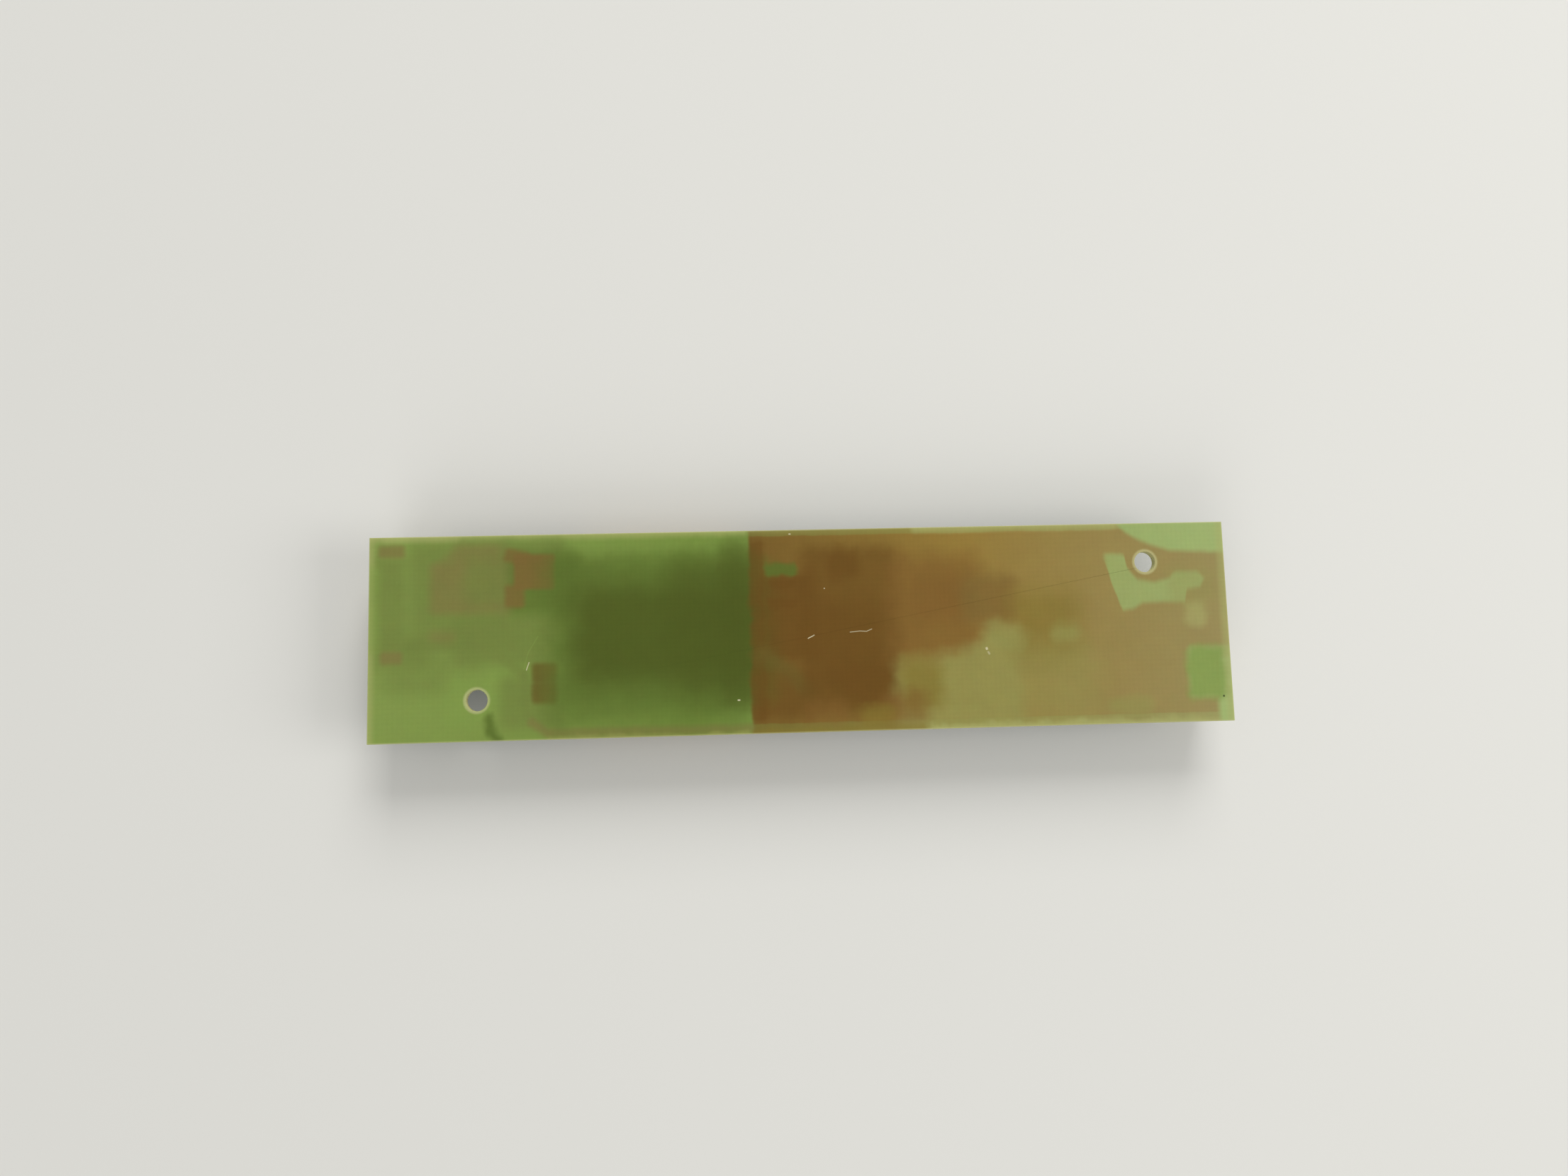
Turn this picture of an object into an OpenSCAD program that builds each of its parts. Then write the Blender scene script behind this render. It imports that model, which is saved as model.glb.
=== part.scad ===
// Backlight inverter board: a narrow single-sided circuit board, shown as it lies on a bench with its bare
// back upwards and every part hanging under it. Lengths are in millimetres. X runs along the board, Y across
// it and Z up; the origin is on the bench, under the middle of the board.

/* [Board] */
// Length of the laminate
board_l = 98; // [88:0.5:118]
// Width of the laminate
board_w = 23.1; // [21.4:0.1:26]
// Thickness of the laminate
board_t = 1; // [0.6:0.1:2]
// Height of the two tallest parts, on which the board rests
tall_h = 6.2; // [6:0.1:7]
// Thickness of the copper foil
copper_t = 0.07; // [0.035:0.005:0.14]
// Thickness of the solder mask over the copper, and of the solder coat on the pads
mask_t = 0.04; // [0.02:0.01:0.08]
// Gap between two pieces of foil
foil_gap = 0.3; // [0.2:0.05:0.35]
// Gap between the foil and the far edge of the board
plane_inset_far = 0.6; // [0.3:0.05:0.8]
// Gap between the foil and the near edge of the board
plane_inset_near = 1.15; // [0.8:0.05:1.2]
// Gap between a pad and the edge of its opening in the mask
mask_relief = 0.06; // [0.02:0.01:0.1]
// Diameter of the two mounting holes
hole_d = 2.4; // [2:0.1:2.8]
// Distance from the left end to its mounting hole
left_hole_inset = 12; // [11:0.1:13]
// Distance from the right end to its mounting hole
right_hole_inset = 9.4; // [9:0.1:10.5]
// Distance from the long edge to each mounting hole
hole_edge = 4.55; // [4:0.05:4.8]
// Ring of bare laminate round each mounting hole
hole_relief = 0.25; // [0.1:0.05:0.4]
// Diameter of the foil ring round the right hole
hole_ring_d = 4.7; // [4:0.1:5]
// Width of the return track
track_w = 0.7; // [0.4:0.05:0.9]

/* [Transformer] */
// Length of the ferrite core
core_l = 19.2; // [18:0.1:20]
// Width of the ferrite core
core_w = 16; // [15:0.1:16.6]
// Thickness of the yokes and outer legs
core_t = 4.2; // [3.4:0.1:4.6]
// Width of the middle leg of the core
middle_leg_w = 4.6; // [3.6:0.1:5]
// Thickness of the middle leg of the core
middle_leg_t = 2.2; // [1.6:0.1:2.2]
// Width of each outer leg of the core
outer_leg_w = 2; // [1.5:0.1:2.4]
// Thickness of the yoke that joins the legs
yoke_t = 2.2; // [1.6:0.1:2.6]
// Air gap between the two middle legs
core_gap = 0.1; // [0.05:0.01:0.3]
// Wall of the bobbin's sleeve
sleeve_wall = 0.5; // [0.35:0.05:0.6]
// Running gap between bobbin and core
bobbin_clear = 0.1; // [0.05:0.01:0.15]
// Thickness of each flange
flange_t = 0.55; // [0.4:0.05:0.7]
// Number of sections in the high-voltage winding
sections = 5; // [3:1:7]
// Length of the low-voltage winding space
primary_l = 3.2; // [2.4:0.1:4]
// Depth of the high-voltage winding
secondary_build = 1.05; // [0.7:0.05:1.1]
// Diameter of the low-voltage wire
primary_wire_d = 0.4; // [0.3:0.05:0.5]
// Height of the two pin rails
rail_h = 1.6; // [1.3:0.1:1.8]
// Length of each pin rail
rail_l = 2.4; // [2:0.1:2.8]
// Gap between the rails and the board
rail_lift = 0.2; // [0.1:0.05:0.3]
// Pitch of the low-voltage pins
primary_pitch = 2.5; // [2.3:0.01:2.6]
// Number of low-voltage pins
primary_pins_n = 5; // [3:1:5]
// Width of a transformer pin
pin_w = 0.9; // [0.6:0.05:1]
// Thickness of a transformer pin
pin_t = 0.3; // [0.2:0.05:0.4]
// Reach of the low-voltage pins beyond their rail
primary_reach = 2.9; // [2.4:0.1:3.2]
// Reach of the high-voltage pins beyond their rail
secondary_reach = 2.1; // [1.8:0.1:2.5]
// Width of the tape round the core
tape_w = 2.6; // [1.6:0.1:2.8]
// Thickness of the tape
tape_t = 0.08; // [0.05:0.01:0.1]
// Offset of the transformer from the middle of the board
transformer_y = 0.6; // [0.2:0.05:0.8]

/* [Choke] */
// Diameter of the drum's flanges
drum_d = 9.2; // [8.4:0.1:9.6]
// Height of the drum
drum_h = 3.8; // [3:0.1:4.4]
// Thickness of each flange of the drum
drum_flange_t = 0.8; // [0.6:0.05:1]
// Diameter of the drum's waist
drum_waist_d = 4.4; // [3.5:0.1:5.5]
// Depth of the choke's winding below the edge of the flanges
choke_recess = 0.5; // [0.3:0.05:1]
// Thickness of the choke's base
choke_base_t = 0.9; // [0.7:0.05:1.2]
// Thickness of the choke's clips
clip_t = 0.2; // [0.15:0.05:0.3]
// Width of the choke's clips
clip_w = 2.6; // [2:0.1:3]

/* [Output connector] */
// Distance between the two lamp contacts
lamp_pitch = 8; // [7.6:0.1:8.2]
// Depth of the housing
lamp_housing_l = 6.1; // [5.7:0.1:6.4]
// Gap between a lamp contact and the side wall of the housing
lamp_side_gap = 0.3; // [0.2:0.05:0.6]
// Height of the housing
lamp_housing_h = 4.2; // [3.8:0.1:4.8]
// Wall of the housing
lamp_wall = 0.6; // [0.45:0.05:0.8]
// Length of a contact's tail behind the output connector
lamp_reach = 2.4; // [2:0.05:2.7]
// Width of a lamp contact
lamp_contact_w = 0.8; // [0.6:0.05:1]
// Gap between the connector's solder tab and the far edge of the board
lamp_edge_gap = 1; // [0.7:0.05:1.5]
// Reach of the solder tabs beside the housing
tab_reach = 1.3; // [1:0.05:1.5]

/* [Input connector] */
// Distance between two contacts
supply_pitch = 1.25; // [1.2:0.01:1.27]
// Number of contacts
supply_n = 8; // [5:1:8]
// Depth of the housing
supply_housing_l = 5.5; // [5:0.1:5.8]
// Height of the housing
supply_housing_h = 3.4; // [3:0.1:4]
// Wall of the housing
supply_wall = 0.5; // [0.4:0.05:0.6]
// Gap between the connector's solder tab and the near edge of the board
supply_edge_gap = 1.2; // [0.9:0.05:1.6]
// Width of a contact
contact_w = 0.32; // [0.25:0.01:0.4]
// Gap between a connector and the end of the board
connector_inset = 0.3; // [0.1:0.05:0.5]
// Length of a contact's tail behind the input connector
supply_reach = 1.9; // [1.6:0.05:2.2]

/* [Large capacitors] */
// Diameter of the electrolytic capacitor's can
can_d = 6.3; // [5:0.1:6.6]
// Wall of the can
can_wall = 0.3; // [0.2:0.05:0.4]
// Thickness of the electrolytic capacitor's base
can_base_t = 1; // [0.8:0.1:1.2]
// Length of the film capacitor
film_l = 7.2; // [6:0.1:7.6]
// Width of the film capacitor
film_w = 5; // [4.4:0.1:5.2]
// Height of the film capacitor
film_h = 3.2; // [2:0.1:4]
// Length of the high-voltage capacitor
ballast_l = 5.7; // [5.2:0.1:6]
// Width of the high-voltage capacitor
ballast_w = 5; // [4.4:0.1:5.2]
// Height of the high-voltage capacitor
ballast_h = 2.5; // [1.6:0.1:3]

/* [Small parts] */
// Length of the control chip's body
control_l = 8.65; // [8.4:0.05:8.9]
// Leads on each side of the control chip
control_leads_n = 7; // [6:1:7]
// Length of the two switching chips' bodies
switch_l = 4.9; // [4.7:0.05:5.1]
// Width of the chips' bodies
chip_body_w = 3.9; // [3.7:0.05:4]
// Height of the chips' bodies
chip_body_t = 1.45; // [1.2:0.05:1.6]
// Pitch of the leads on all three chips
lead_pitch = 1.27; // [1.2:0.01:1.3]
// Width of a lead
lead_w = 0.42; // [0.3:0.01:0.46]
// Thickness of a lead
lead_t = 0.2; // [0.15:0.01:0.25]
// Length of a chip resistor or chip capacitor
chip_l = 1.6; // [1.4:0.05:1.7]
// Width of a chip resistor or chip capacitor
chip_w = 0.8; // [0.7:0.05:0.9]
// Height of a chip resistor
resistor_h = 0.45; // [0.35:0.05:0.6]
// Height of a chip capacitor
ceramic_h = 0.8; // [0.6:0.05:0.9]
// Length of the fuse and of the two bulk capacitors
large_chip_l = 3.2; // [3:0.1:3.4]
// Width of the fuse and of the two bulk capacitors
large_chip_w = 1.6; // [1.3:0.05:1.8]
// Height of the fuse
fuse_h = 0.9; // [0.6:0.05:1.2]
// Height of the two bulk capacitors
bulk_h = 1.3; // [0.9:0.05:1.6]
// Length of the diode's body
diode_l = 4.3; // [4:0.1:4.5]
// Width of the diode's body
diode_w = 2.6; // [2.3:0.1:2.8]
// Height of the diode's body
diode_h = 2.1; // [1.8:0.1:2.4]

/* [Hidden] */
$fn = 48;

// Heights below the board are measured from the foil side of the laminate.
seat = copper_t + mask_t;
top_y = board_w / 2;
right_x = board_l / 2;
left_hole = [left_hole_inset - right_x, hole_edge - top_y];
right_hole = [right_x - right_hole_inset, top_y - hole_edge];

// What the parts leave of the board's length is spare, and each gap between them takes its share of it.
can_side = can_d + 0.3;
block_l = 4.1;
block_lap = 0.35;
bobbin_l = core_l + 2 * (rail_l + bobbin_clear);
parts_l = 2 * connector_inset + lamp_housing_l + lamp_reach + ballast_l - block_lap + block_l + bobbin_l
    + primary_reach + drum_d + 2 * switch_l + can_side + large_chip_w + supply_reach + supply_housing_l;
spare_l = board_l - parts_l;
ballast_share = 0.13;
choke_share = 0.06;
zone_share = 0.055;
chip_share = 0.22;
can_share = 0.03;
bulk_share = 0.065;

// The output end, worked from the left end and the far edge of the board.
lamp_x0 = connector_inset - right_x;
lamp_x1 = lamp_x0 + lamp_housing_l;
lamp_t = 0.4;
lamp_pin_h = seat + lamp_housing_h * 0.52;
lamp_housing_w = lamp_pitch + lamp_contact_w + 2 * (lamp_side_gap + lamp_wall);
lamp_y = top_y - lamp_edge_gap - tab_reach - lamp_housing_w / 2;
ballast_x = lamp_x1 + lamp_reach + spare_l * ballast_share + ballast_l / 2;
ballast_y = lamp_y + 2.95;
block_x0 = ballast_x + ballast_l / 2 - block_lap;
block_x1 = block_x0 + block_l;

// The transformer follows the high-voltage block.
rail_w = core_w - 0.6;
flange_h = tall_h - seat - rail_lift;
axis_h = seat + rail_lift + flange_h / 2;
shelf_t = axis_h - core_t / 2 - bobbin_clear - seat - rail_lift;
flange_w = core_w - 2 * outer_leg_w - 2 * bobbin_clear;
core_x0 = block_x1 + rail_l + bobbin_clear;
core_x1 = core_x0 + core_l;
rails_x1 = block_x1 + bobbin_l;
core_cx = (core_x0 + core_x1) / 2;
window_x0 = core_x0 + yoke_t + bobbin_clear;
window_x1 = core_x1 - yoke_t - bobbin_clear;
hole_w = middle_leg_w + 2 * bobbin_clear;
hole_h = middle_leg_t + 2 * bobbin_clear;
sleeve_w = hole_w + 2 * sleeve_wall;
sleeve_h = hole_h + 2 * sleeve_wall;
primary_x0 = window_x1 - flange_t - primary_l;
secondary_x1 = primary_x0 - flange_t;
section_pitch = (secondary_x1 - window_x0) / sections;
pin_h = seat + rail_lift + rail_h * 0.55;
secondary_ys = [transformer_y + rail_w / 2 - 0.85, transformer_y - rail_w / 2 + 2.95,
    transformer_y - rail_w / 2 + 0.85];
primary_y0 = transformer_y + (primary_pins_n - 1) * primary_pitch / 2;
plane_x0 = rails_x1 - 2.3;

// The choke and the film capacitor follow the transformer.
choke_x = rails_x1 + primary_reach + spare_l * choke_share + drum_d / 2;
choke_y = -0.15 * board_w;
choke_base_h = seat + clip_t;
drum_h0 = choke_base_h + choke_base_t;
film_x = choke_x;
film_y = choke_y + drum_d / 2 + 1.1 + film_w / 2;

// The chips share out what is left between the choke and the can.
zone_x0 = choke_x + drum_d / 2 + spare_l * zone_share;
zone_x1 = zone_x0 + 2 * switch_l + spare_l * chip_share;
chip_lift = 0.12;
chip_span = 6;
switch_x = zone_x0 + switch_l / 2;
regulator_x = zone_x1 - switch_l / 2;
switch_y = 0.19 * board_w;
control_x = zone_x0 + control_l / 2;
control_y = -0.117 * board_w;
top_row_y = top_y - 2.1;
low_row_y = 3.1 - top_y;
row_n = 6;
row_pitch = (zone_x1 - zone_x0) / row_n;
can_x = zone_x1 + spare_l * can_share + can_side / 2;
can_y = -0.5;
diode_x = can_x + 0.8;
diode_y = can_y + can_side / 2 + 1.2 + diode_w / 2;
bulk_x = can_x + can_side / 2 + spare_l * bulk_share + large_chip_w / 2;
bulk_ys = [-0.12 * board_w, -0.31 * board_w];
small_diodes = [[choke_x, film_y + film_w / 2 + 1.6], [bulk_x + 0.6, 3.4]];

// The input end, worked back from the right end and the near edge of the board.
supply_x1 = right_x - connector_inset;
supply_x0 = supply_x1 - supply_housing_l;
supply_t = 0.22;
supply_pin_h = seat + supply_housing_h * 0.5;
supply_w = (supply_n - 1) * supply_pitch + 2.7;
supply_y = supply_edge_gap + tab_reach + supply_w / 2 - top_y;
fuse_at = [supply_x0 - supply_reach - large_chip_l / 2 - 1.6, large_chip_w / 2 + 0.95 - top_y];

// Chip resistors and chip capacitors stand across the board; each entry is a centre.
resistors = concat(
    [for (i = [0:2:row_n - 1]) [zone_x0 + row_pitch * (i + 0.5), top_row_y]],
    [for (i = [1:2:row_n - 1]) [zone_x0 + row_pitch * (i + 0.5), low_row_y]],
    [[(switch_x + regulator_x) / 2, switch_y + 1.6], [zone_x1 - chip_w / 2, control_y - 1.5]]);
ceramics = concat(
    [for (i = [1:2:row_n - 1]) [zone_x0 + row_pitch * (i + 0.5), top_row_y]],
    [for (i = [0:2:row_n - 1]) [zone_x0 + row_pitch * (i + 0.5), low_row_y]],
    [[(switch_x + regulator_x) / 2, switch_y - 1.6], [zone_x1 - chip_w / 2, control_y + 1.6],
        [rails_x1 + 1.6, low_row_y]]);

// Flips what is drawn upwards from the foil side so that it hangs under the board.
module under() { translate([0, 0, tall_h]) mirror([0, 0, 1]) children(); }
module block(x, y, h, l, w, t) { translate([x - l / 2, y - w / 2, h]) cube([l, w, t]); }
module area(x0, y0, x1, y1) { translate([x0, y0]) square([x1 - x0, y1 - y0]); }
module layer(h0, h1) { under() translate([0, 0, h0]) linear_extrude(h1 - h0) children(); }
module pad(x, y, l, w, g) { translate([x - l / 2 - g, y - w / 2 - g]) square([l + 2 * g, w + 2 * g]); }
module rounded(w, h, r) {
    square([w - 2 * r, h], center = true);
    square([w, h - 2 * r], center = true);
    for (sx = [-1, 1], sy = [-1, 1]) translate([sx * (w / 2 - r), sy * (h / 2 - r)]) circle(r = r);
}
// A bar laid along X from x0 to x1 with a section drawn across it.
module along_x(x0, x1, y, h) { translate([x0, y, h]) rotate([90, 0, 90]) linear_extrude(x1 - x0) children(); }
// A strip of foil along a line of points, with mitred corners.
function along(v) = v / norm(v);
function across(v) = [-v[1], v[0]] / norm(v);
function corner(points, i, w) =
    let (n = len(points) - 1, a = across(points[max(i, 1)] - points[max(i, 1) - 1]),
        b = across(points[min(i, n - 1) + 1] - points[min(i, n - 1)]), m = along(a + b)) m * w / 2 / (m * a);
module track(points, w) {
    polygon(concat([for (i = [0:len(points) - 1]) points[i] + corner(points, i, w)],
        [for (i = [len(points) - 1:-1:0]) points[i] - corner(points, i, w)]));
}

// A bent lead: it leaves the face at x = 0 at height h, turns down to the board and runs out to the reach.
module lead(w, t, h, inside, knee, reach) {
    rotate([90, 0, 0]) translate([0, 0, -w / 2]) linear_extrude(w) polygon([
        [-inside, h - t / 2], [knee - t, h - t / 2], [knee - t, seat], [reach, seat],
        [reach, seat + t], [knee, seat + t], [knee, h + t / 2], [-inside, h + t / 2]]);
}

// Pads of each kind of part, grown by g.
module lead_pads(x, y, n, g) {
    for (i = [0:n - 1], s = [-1, 1])
        pad(x + (i - (n - 1) / 2) * lead_pitch, y + s * (chip_span / 2 - 0.35), 0.62, 1.3, g);
}
module chip_pads(l, w, e, g) { for (s = [-1, 1]) pad(0, s * (l / 2 - 0.1), w + 0.1, e, g); }
module left_pads(g) {
    for (s = [-1, 1]) pad(lamp_x0 + 2.35, lamp_y + s * (lamp_housing_w / 2 + 0.75), 2.7, 1.7, g);
    for (s = [-1, 1]) pad(lamp_x1 + lamp_reach - 0.95, lamp_y + s * lamp_pitch / 2, 2.5, 1.7, g);
    for (s = [-1, 1]) pad(ballast_x + s * (ballast_l / 2 - 0.05), ballast_y, 1.0, ballast_w, g);
    for (y = secondary_ys) pad(block_x1 - 1.25, y, 2.3, 1.7, g);
}
module right_pads(g) {
    for (i = [0:primary_pins_n - 1]) pad(rails_x1 + 1.6, primary_y0 - i * primary_pitch, 3.2, 1.5, g);
    for (s = [-1, 1]) pad(choke_x, choke_y + s * (drum_d / 2 - 0.6), clip_w + 0.2, 2.2, g);
    for (s = [-1, 1]) pad(film_x + s * (film_l / 2 - 0.2), film_y, 1.3, film_w - 0.4, g);
    lead_pads(switch_x, switch_y, 4, g);
    lead_pads(regulator_x, switch_y, 4, g);
    lead_pads(control_x, control_y, control_leads_n, g);
    for (p = concat(resistors, ceramics)) translate(p) chip_pads(chip_l, chip_w, 0.7, g);
    for (y = bulk_ys) translate([bulk_x, y]) chip_pads(large_chip_l, large_chip_w, 1, g);
    translate(fuse_at) rotate([0, 0, 90]) chip_pads(large_chip_l, large_chip_w, 1, g);
    for (s = [-1, 1]) pad(diode_x + s * (diode_l / 2 - 0.1), diode_y, 1.5, 1.8, g);
    for (s = [-1, 1]) pad(can_x, can_y + s * (can_side / 2 - 0.5), 1.3, 2.4, g);
    for (p = small_diodes) translate(p) {
        for (s = [-1, 1]) pad(s * 0.95, -1.1, 0.7, 0.7, g);
        pad(0, 1.1, 0.7, 0.7, g);
    }
    for (i = [0:supply_n - 1])
        pad(supply_x0 - 1.15, supply_y + (i - (supply_n - 1) / 2) * supply_pitch, 2, 0.62, g);
    for (s = [-1, 1]) pad(supply_x1 - 2.5, supply_y + s * (supply_w / 2 + 0.65), 2.5, 1.5, g);
}

// Rows of closely spaced pads share one gap in the ground foil.
module row_gaps() {
    for (row = [[switch_x, switch_y, 4], [regulator_x, switch_y, 4], [control_x, control_y, control_leads_n]],
        s = [-1, 1])
        pad(row[0], row[1] + s * (chip_span / 2 - 0.35), (row[2] - 1) * lead_pitch + 0.62, 1.3, foil_gap);
    pad(supply_x0 - 1.15, supply_y, 2, (supply_n - 1) * supply_pitch + 0.62, foil_gap);
}

// Bare laminate between pieces of foil.
module bare_areas() {
    area(rails_x1 - 0.2, primary_y0 + 0.75, rails_x1 + 3.1, primary_y0 + 2.05);
    translate(right_hole) {
        polygon([[-3.2, 6], [-3.2, 4.5], [-2.1, 3.3], [-0.6, 2.3], [0.9, 1.8], [2.9, 1.05], [12, 0.8], [12, 6]]);
        polygon([[-4.5, 1.15], [-2.5, 0.95], [-2.35, -0.45], [-1.1, -1.95], [0.9, -2.3], [2.9, -1.95],
            [3.4, -1.2], [6.15, -1.2], [6.8, -1.95], [6.4, -2.95], [4.65, -3.2], [4.5, -4.7], [-0.6, -4.85],
            [-1.6, -5.95], [-3.1, -6.05], [-3.35, -4.2], [-4.1, -2.2], [-4.5, -0.45]]);
    }
    translate([supply_x0, supply_y]) polygon([[1.8, 0.35], [0.7, -1.65], [0.8, -4.2], [1.55, -5.65],
        [4, -5.65], [4, -12], [8, -12], [8, 0.35]]);
}
module return_shape() {
    track([[lamp_x1 + 1.5, lamp_y - lamp_pitch / 2], [block_x1 - 6.1, -2], [block_x1 - 3.35, -3.5],
        [block_x1 - 3.35, -7.4], [block_x1 - 1.8, plane_inset_near / 2 - top_y + 0.4],
        [plane_x0 + 1.5, plane_inset_near + 0.15 - track_w / 2 - top_y]], track_w);
}
module holes(d) { for (p = [left_hole, right_hole]) translate(p) circle(d = d); }
module plane_shape() {
    difference() {
        area(plane_x0, plane_inset_near - top_y, right_x - 0.5, top_y - plane_inset_far);
        bare_areas();
        right_pads(foil_gap);
        row_gaps();
    }
}
module ring_shape(d) {
    translate(right_hole) difference() {
        circle(d = d);
        circle(d = hole_d + 2 * hole_relief);
    }
}
// The ground foil is three pieces of one sheet: the plane, the ring round the right hole and the return track.
module ground_layers() {
    difference() {
        layer(0, copper_t) plane_shape();
        translate([right_hole[0], right_hole[1], 0]) cylinder(d = hole_ring_d - 0.2, h = tall_h);
    }
    layer(0, copper_t) ring_shape(hole_ring_d);
    layer(0, copper_t) return_shape();
    layer(0, copper_t) pad(lamp_x1 + lamp_reach - 0.95, lamp_y - lamp_pitch / 2, 2.5, 1.7, 0);
}
module high_voltage_shape() {
    hv_y = lamp_y + lamp_pitch / 2;
    a_x0 = lamp_x1 + 0.15;
    a_x1 = block_x0 - 2.4 - foil_gap;
    polygon([[a_x0, hv_y + 0.9], [a_x0 + 2.2, lamp_y + 6.5], [a_x1, lamp_y + 6.5], [a_x1, lamp_y - 1.4],
        [a_x0, lamp_y - 1.4]]);
    area(block_x0, secondary_ys[0] - 2.15, block_x1, secondary_ys[0] + 2.05);
    area(block_x0 - 2.3, ballast_y + 1.6, block_x0 + 0.1, ballast_y + 2.6);
    area(block_x0 - 2, ballast_y - 3.6, block_x0 + 0.8, ballast_y - 1.4);
}
module pad_shape() {
    right_pads(0);
    for (s = [-1, 1]) pad(lamp_x0 + 2.35, lamp_y + s * (lamp_housing_w / 2 + 0.75), 2.7, 1.7, 0);
    for (y = [secondary_ys[1], secondary_ys[2]]) pad(block_x1 - 1.25, y, 2.3, 1.7, 0);
}

module laminate() {
    color([0.62, 0.66, 0.36]) translate([0, 0, tall_h]) linear_extrude(board_t) difference() {
        area(-right_x, -top_y, right_x, top_y);
        holes(hole_d);
    }
}
module ground_foil() { color([0.72, 0.45, 0.25]) ground_layers(); }
module pad_foil() { color([0.72, 0.45, 0.25]) layer(0, copper_t) pad_shape(); }
module high_voltage_foil() { color([0.72, 0.45, 0.25]) layer(0, copper_t) high_voltage_shape(); }
module solder_mask() {
    color([0.12, 0.4, 0.18]) difference() {
        layer(0, seat) difference() {
            area(-right_x, -top_y, right_x, top_y);
            holes(hole_d + 2 * hole_relief);
            left_pads(mask_relief);
            right_pads(mask_relief);
        }
        ground_layers();
        layer(0, copper_t) high_voltage_shape();
        layer(0, copper_t) pad_shape();
    }
}
module solder_coats() {
    color([0.75, 0.76, 0.76]) layer(copper_t, seat) {
        left_pads(0);
        right_pads(0);
    }
}

// A connector open towards +X, its back wall at x = 0, with one slot above each contact.
module housing(l, w, h, wall, ys, cw, ct, ch, tab_x, tab_l, tab_h) {
    difference() {
        block(l / 2, 0, seat, l, w, h);
        block(l / 2 + wall * 1.6, 0, seat + wall, l, w - 2 * wall, h - 2 * wall);
        for (y = ys) block(0, y, ch - ct / 2, 4 * wall, cw, ct);
        for (s = [-1, 1]) {
            block(l, s * w * 0.27, seat + h, l * 0.9, w * 0.14, 3 * wall);
            block(l, s * w * 0.27, seat + h - wall - 0.1, l * 0.9, w * 0.14, 2 * wall);
            block(tab_x, s * (w / 2), seat - 1, tab_l, 0.24, tab_h + 1);
        }
        block(0, 0, seat + h * 0.72, 0.7, w * 0.7, h);
    }
}
// The bent plate on each side that solders a housing to the board.
module tab(w, tab_x, tab_l, tab_h, out) {
    for (s = [-1, 1]) translate([tab_x - tab_l / 2, 0, 0]) rotate([90, 0, 90]) linear_extrude(tab_l)
        polygon([[s * (w / 2 - 0.12), seat], [s * (w / 2 + out), seat], [s * (w / 2 + out), seat + 0.24],
            [s * (w / 2 + 0.12), seat + 0.24], [s * (w / 2 + 0.12), seat + tab_h],
            [s * (w / 2 - 0.12), seat + tab_h]]);
}
lamp_ys = [for (s = [-1, 1]) s * lamp_pitch / 2];
supply_ys = [for (i = [0:supply_n - 1]) (i - (supply_n - 1) / 2) * supply_pitch];
module at_lamp() { under() translate([lamp_x1, lamp_y, 0]) mirror([1, 0, 0]) children(); }
module at_supply() { under() translate([supply_x0, supply_y, 0]) children(); }
module output_housing() {
    color([0.93, 0.9, 0.8]) at_lamp()
        housing(lamp_housing_l, lamp_housing_w, lamp_housing_h, lamp_wall, lamp_ys, lamp_contact_w, lamp_t,
            lamp_pin_h, lamp_housing_l - 2.35, 2.2, lamp_housing_h * 0.6);
}
module contacts(ys, w, t, h, l, wall, reach) {
    for (y = ys) translate([0, y, 0]) mirror([1, 0, 0]) lead(w, t, h, l - wall, t + 0.15, reach);
}
module output_contacts() {
    color([0.8, 0.8, 0.78]) at_lamp()
        contacts(lamp_ys, lamp_contact_w, lamp_t, lamp_pin_h, lamp_housing_l, 3 * lamp_wall, lamp_reach);
}
module output_tabs() {
    color([0.8, 0.8, 0.78]) at_lamp()
        tab(lamp_housing_w, lamp_housing_l - 2.35, 2.2, lamp_housing_h * 0.6, tab_reach);
}
module input_housing() {
    color([0.93, 0.9, 0.8]) at_supply()
        housing(supply_housing_l, supply_w, supply_housing_h, supply_wall, supply_ys, contact_w, supply_t,
            supply_pin_h, supply_housing_l - 2.5, 2, supply_housing_h * 0.6);
}
module input_contacts() {
    color([0.8, 0.8, 0.78]) at_supply()
        contacts(supply_ys, contact_w, supply_t, supply_pin_h, supply_housing_l, 2.5 * supply_wall,
            supply_reach);
}
module input_tabs() {
    color([0.8, 0.8, 0.78]) at_supply() tab(supply_w, supply_housing_l - 2.5, 2, supply_housing_h * 0.6, tab_reach);
}

// A block with a metal cap over each end, laid along X.
module end_body(l, w, h, e) { block(0, 0, seat + 0.03, l - 2 * e, w - 0.06, h - 0.06); }
module end_caps(l, w, h, e) {
    for (s = [-1, 1]) block(s * (l - e) / 2, 0, seat, e, w, h);
}
module ballast_body() {
    color([0.62, 0.48, 0.36]) under() translate([ballast_x, ballast_y, 0])
        end_body(ballast_l, ballast_w, ballast_h, 0.6);
}
module ballast_ends() {
    color([0.78, 0.78, 0.77]) under() translate([ballast_x, ballast_y, 0])
        end_caps(ballast_l, ballast_w, ballast_h, 0.6);
}
module film_body() {
    color([0.8, 0.8, 0.74]) under() translate([film_x, film_y, 0]) end_body(film_l, film_w, film_h, 0.55);
}
module film_ends() {
    color([0.78, 0.78, 0.77]) under() translate([film_x, film_y, 0]) end_caps(film_l, film_w, film_h, 0.55);
}
module fuse_body() {
    color([0.9, 0.9, 0.86]) under() translate(fuse_at) end_body(large_chip_l, large_chip_w, fuse_h, 0.55);
}
module fuse_ends() {
    color([0.78, 0.78, 0.77]) under() translate(fuse_at) end_caps(large_chip_l, large_chip_w, fuse_h, 0.55);
}
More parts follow.
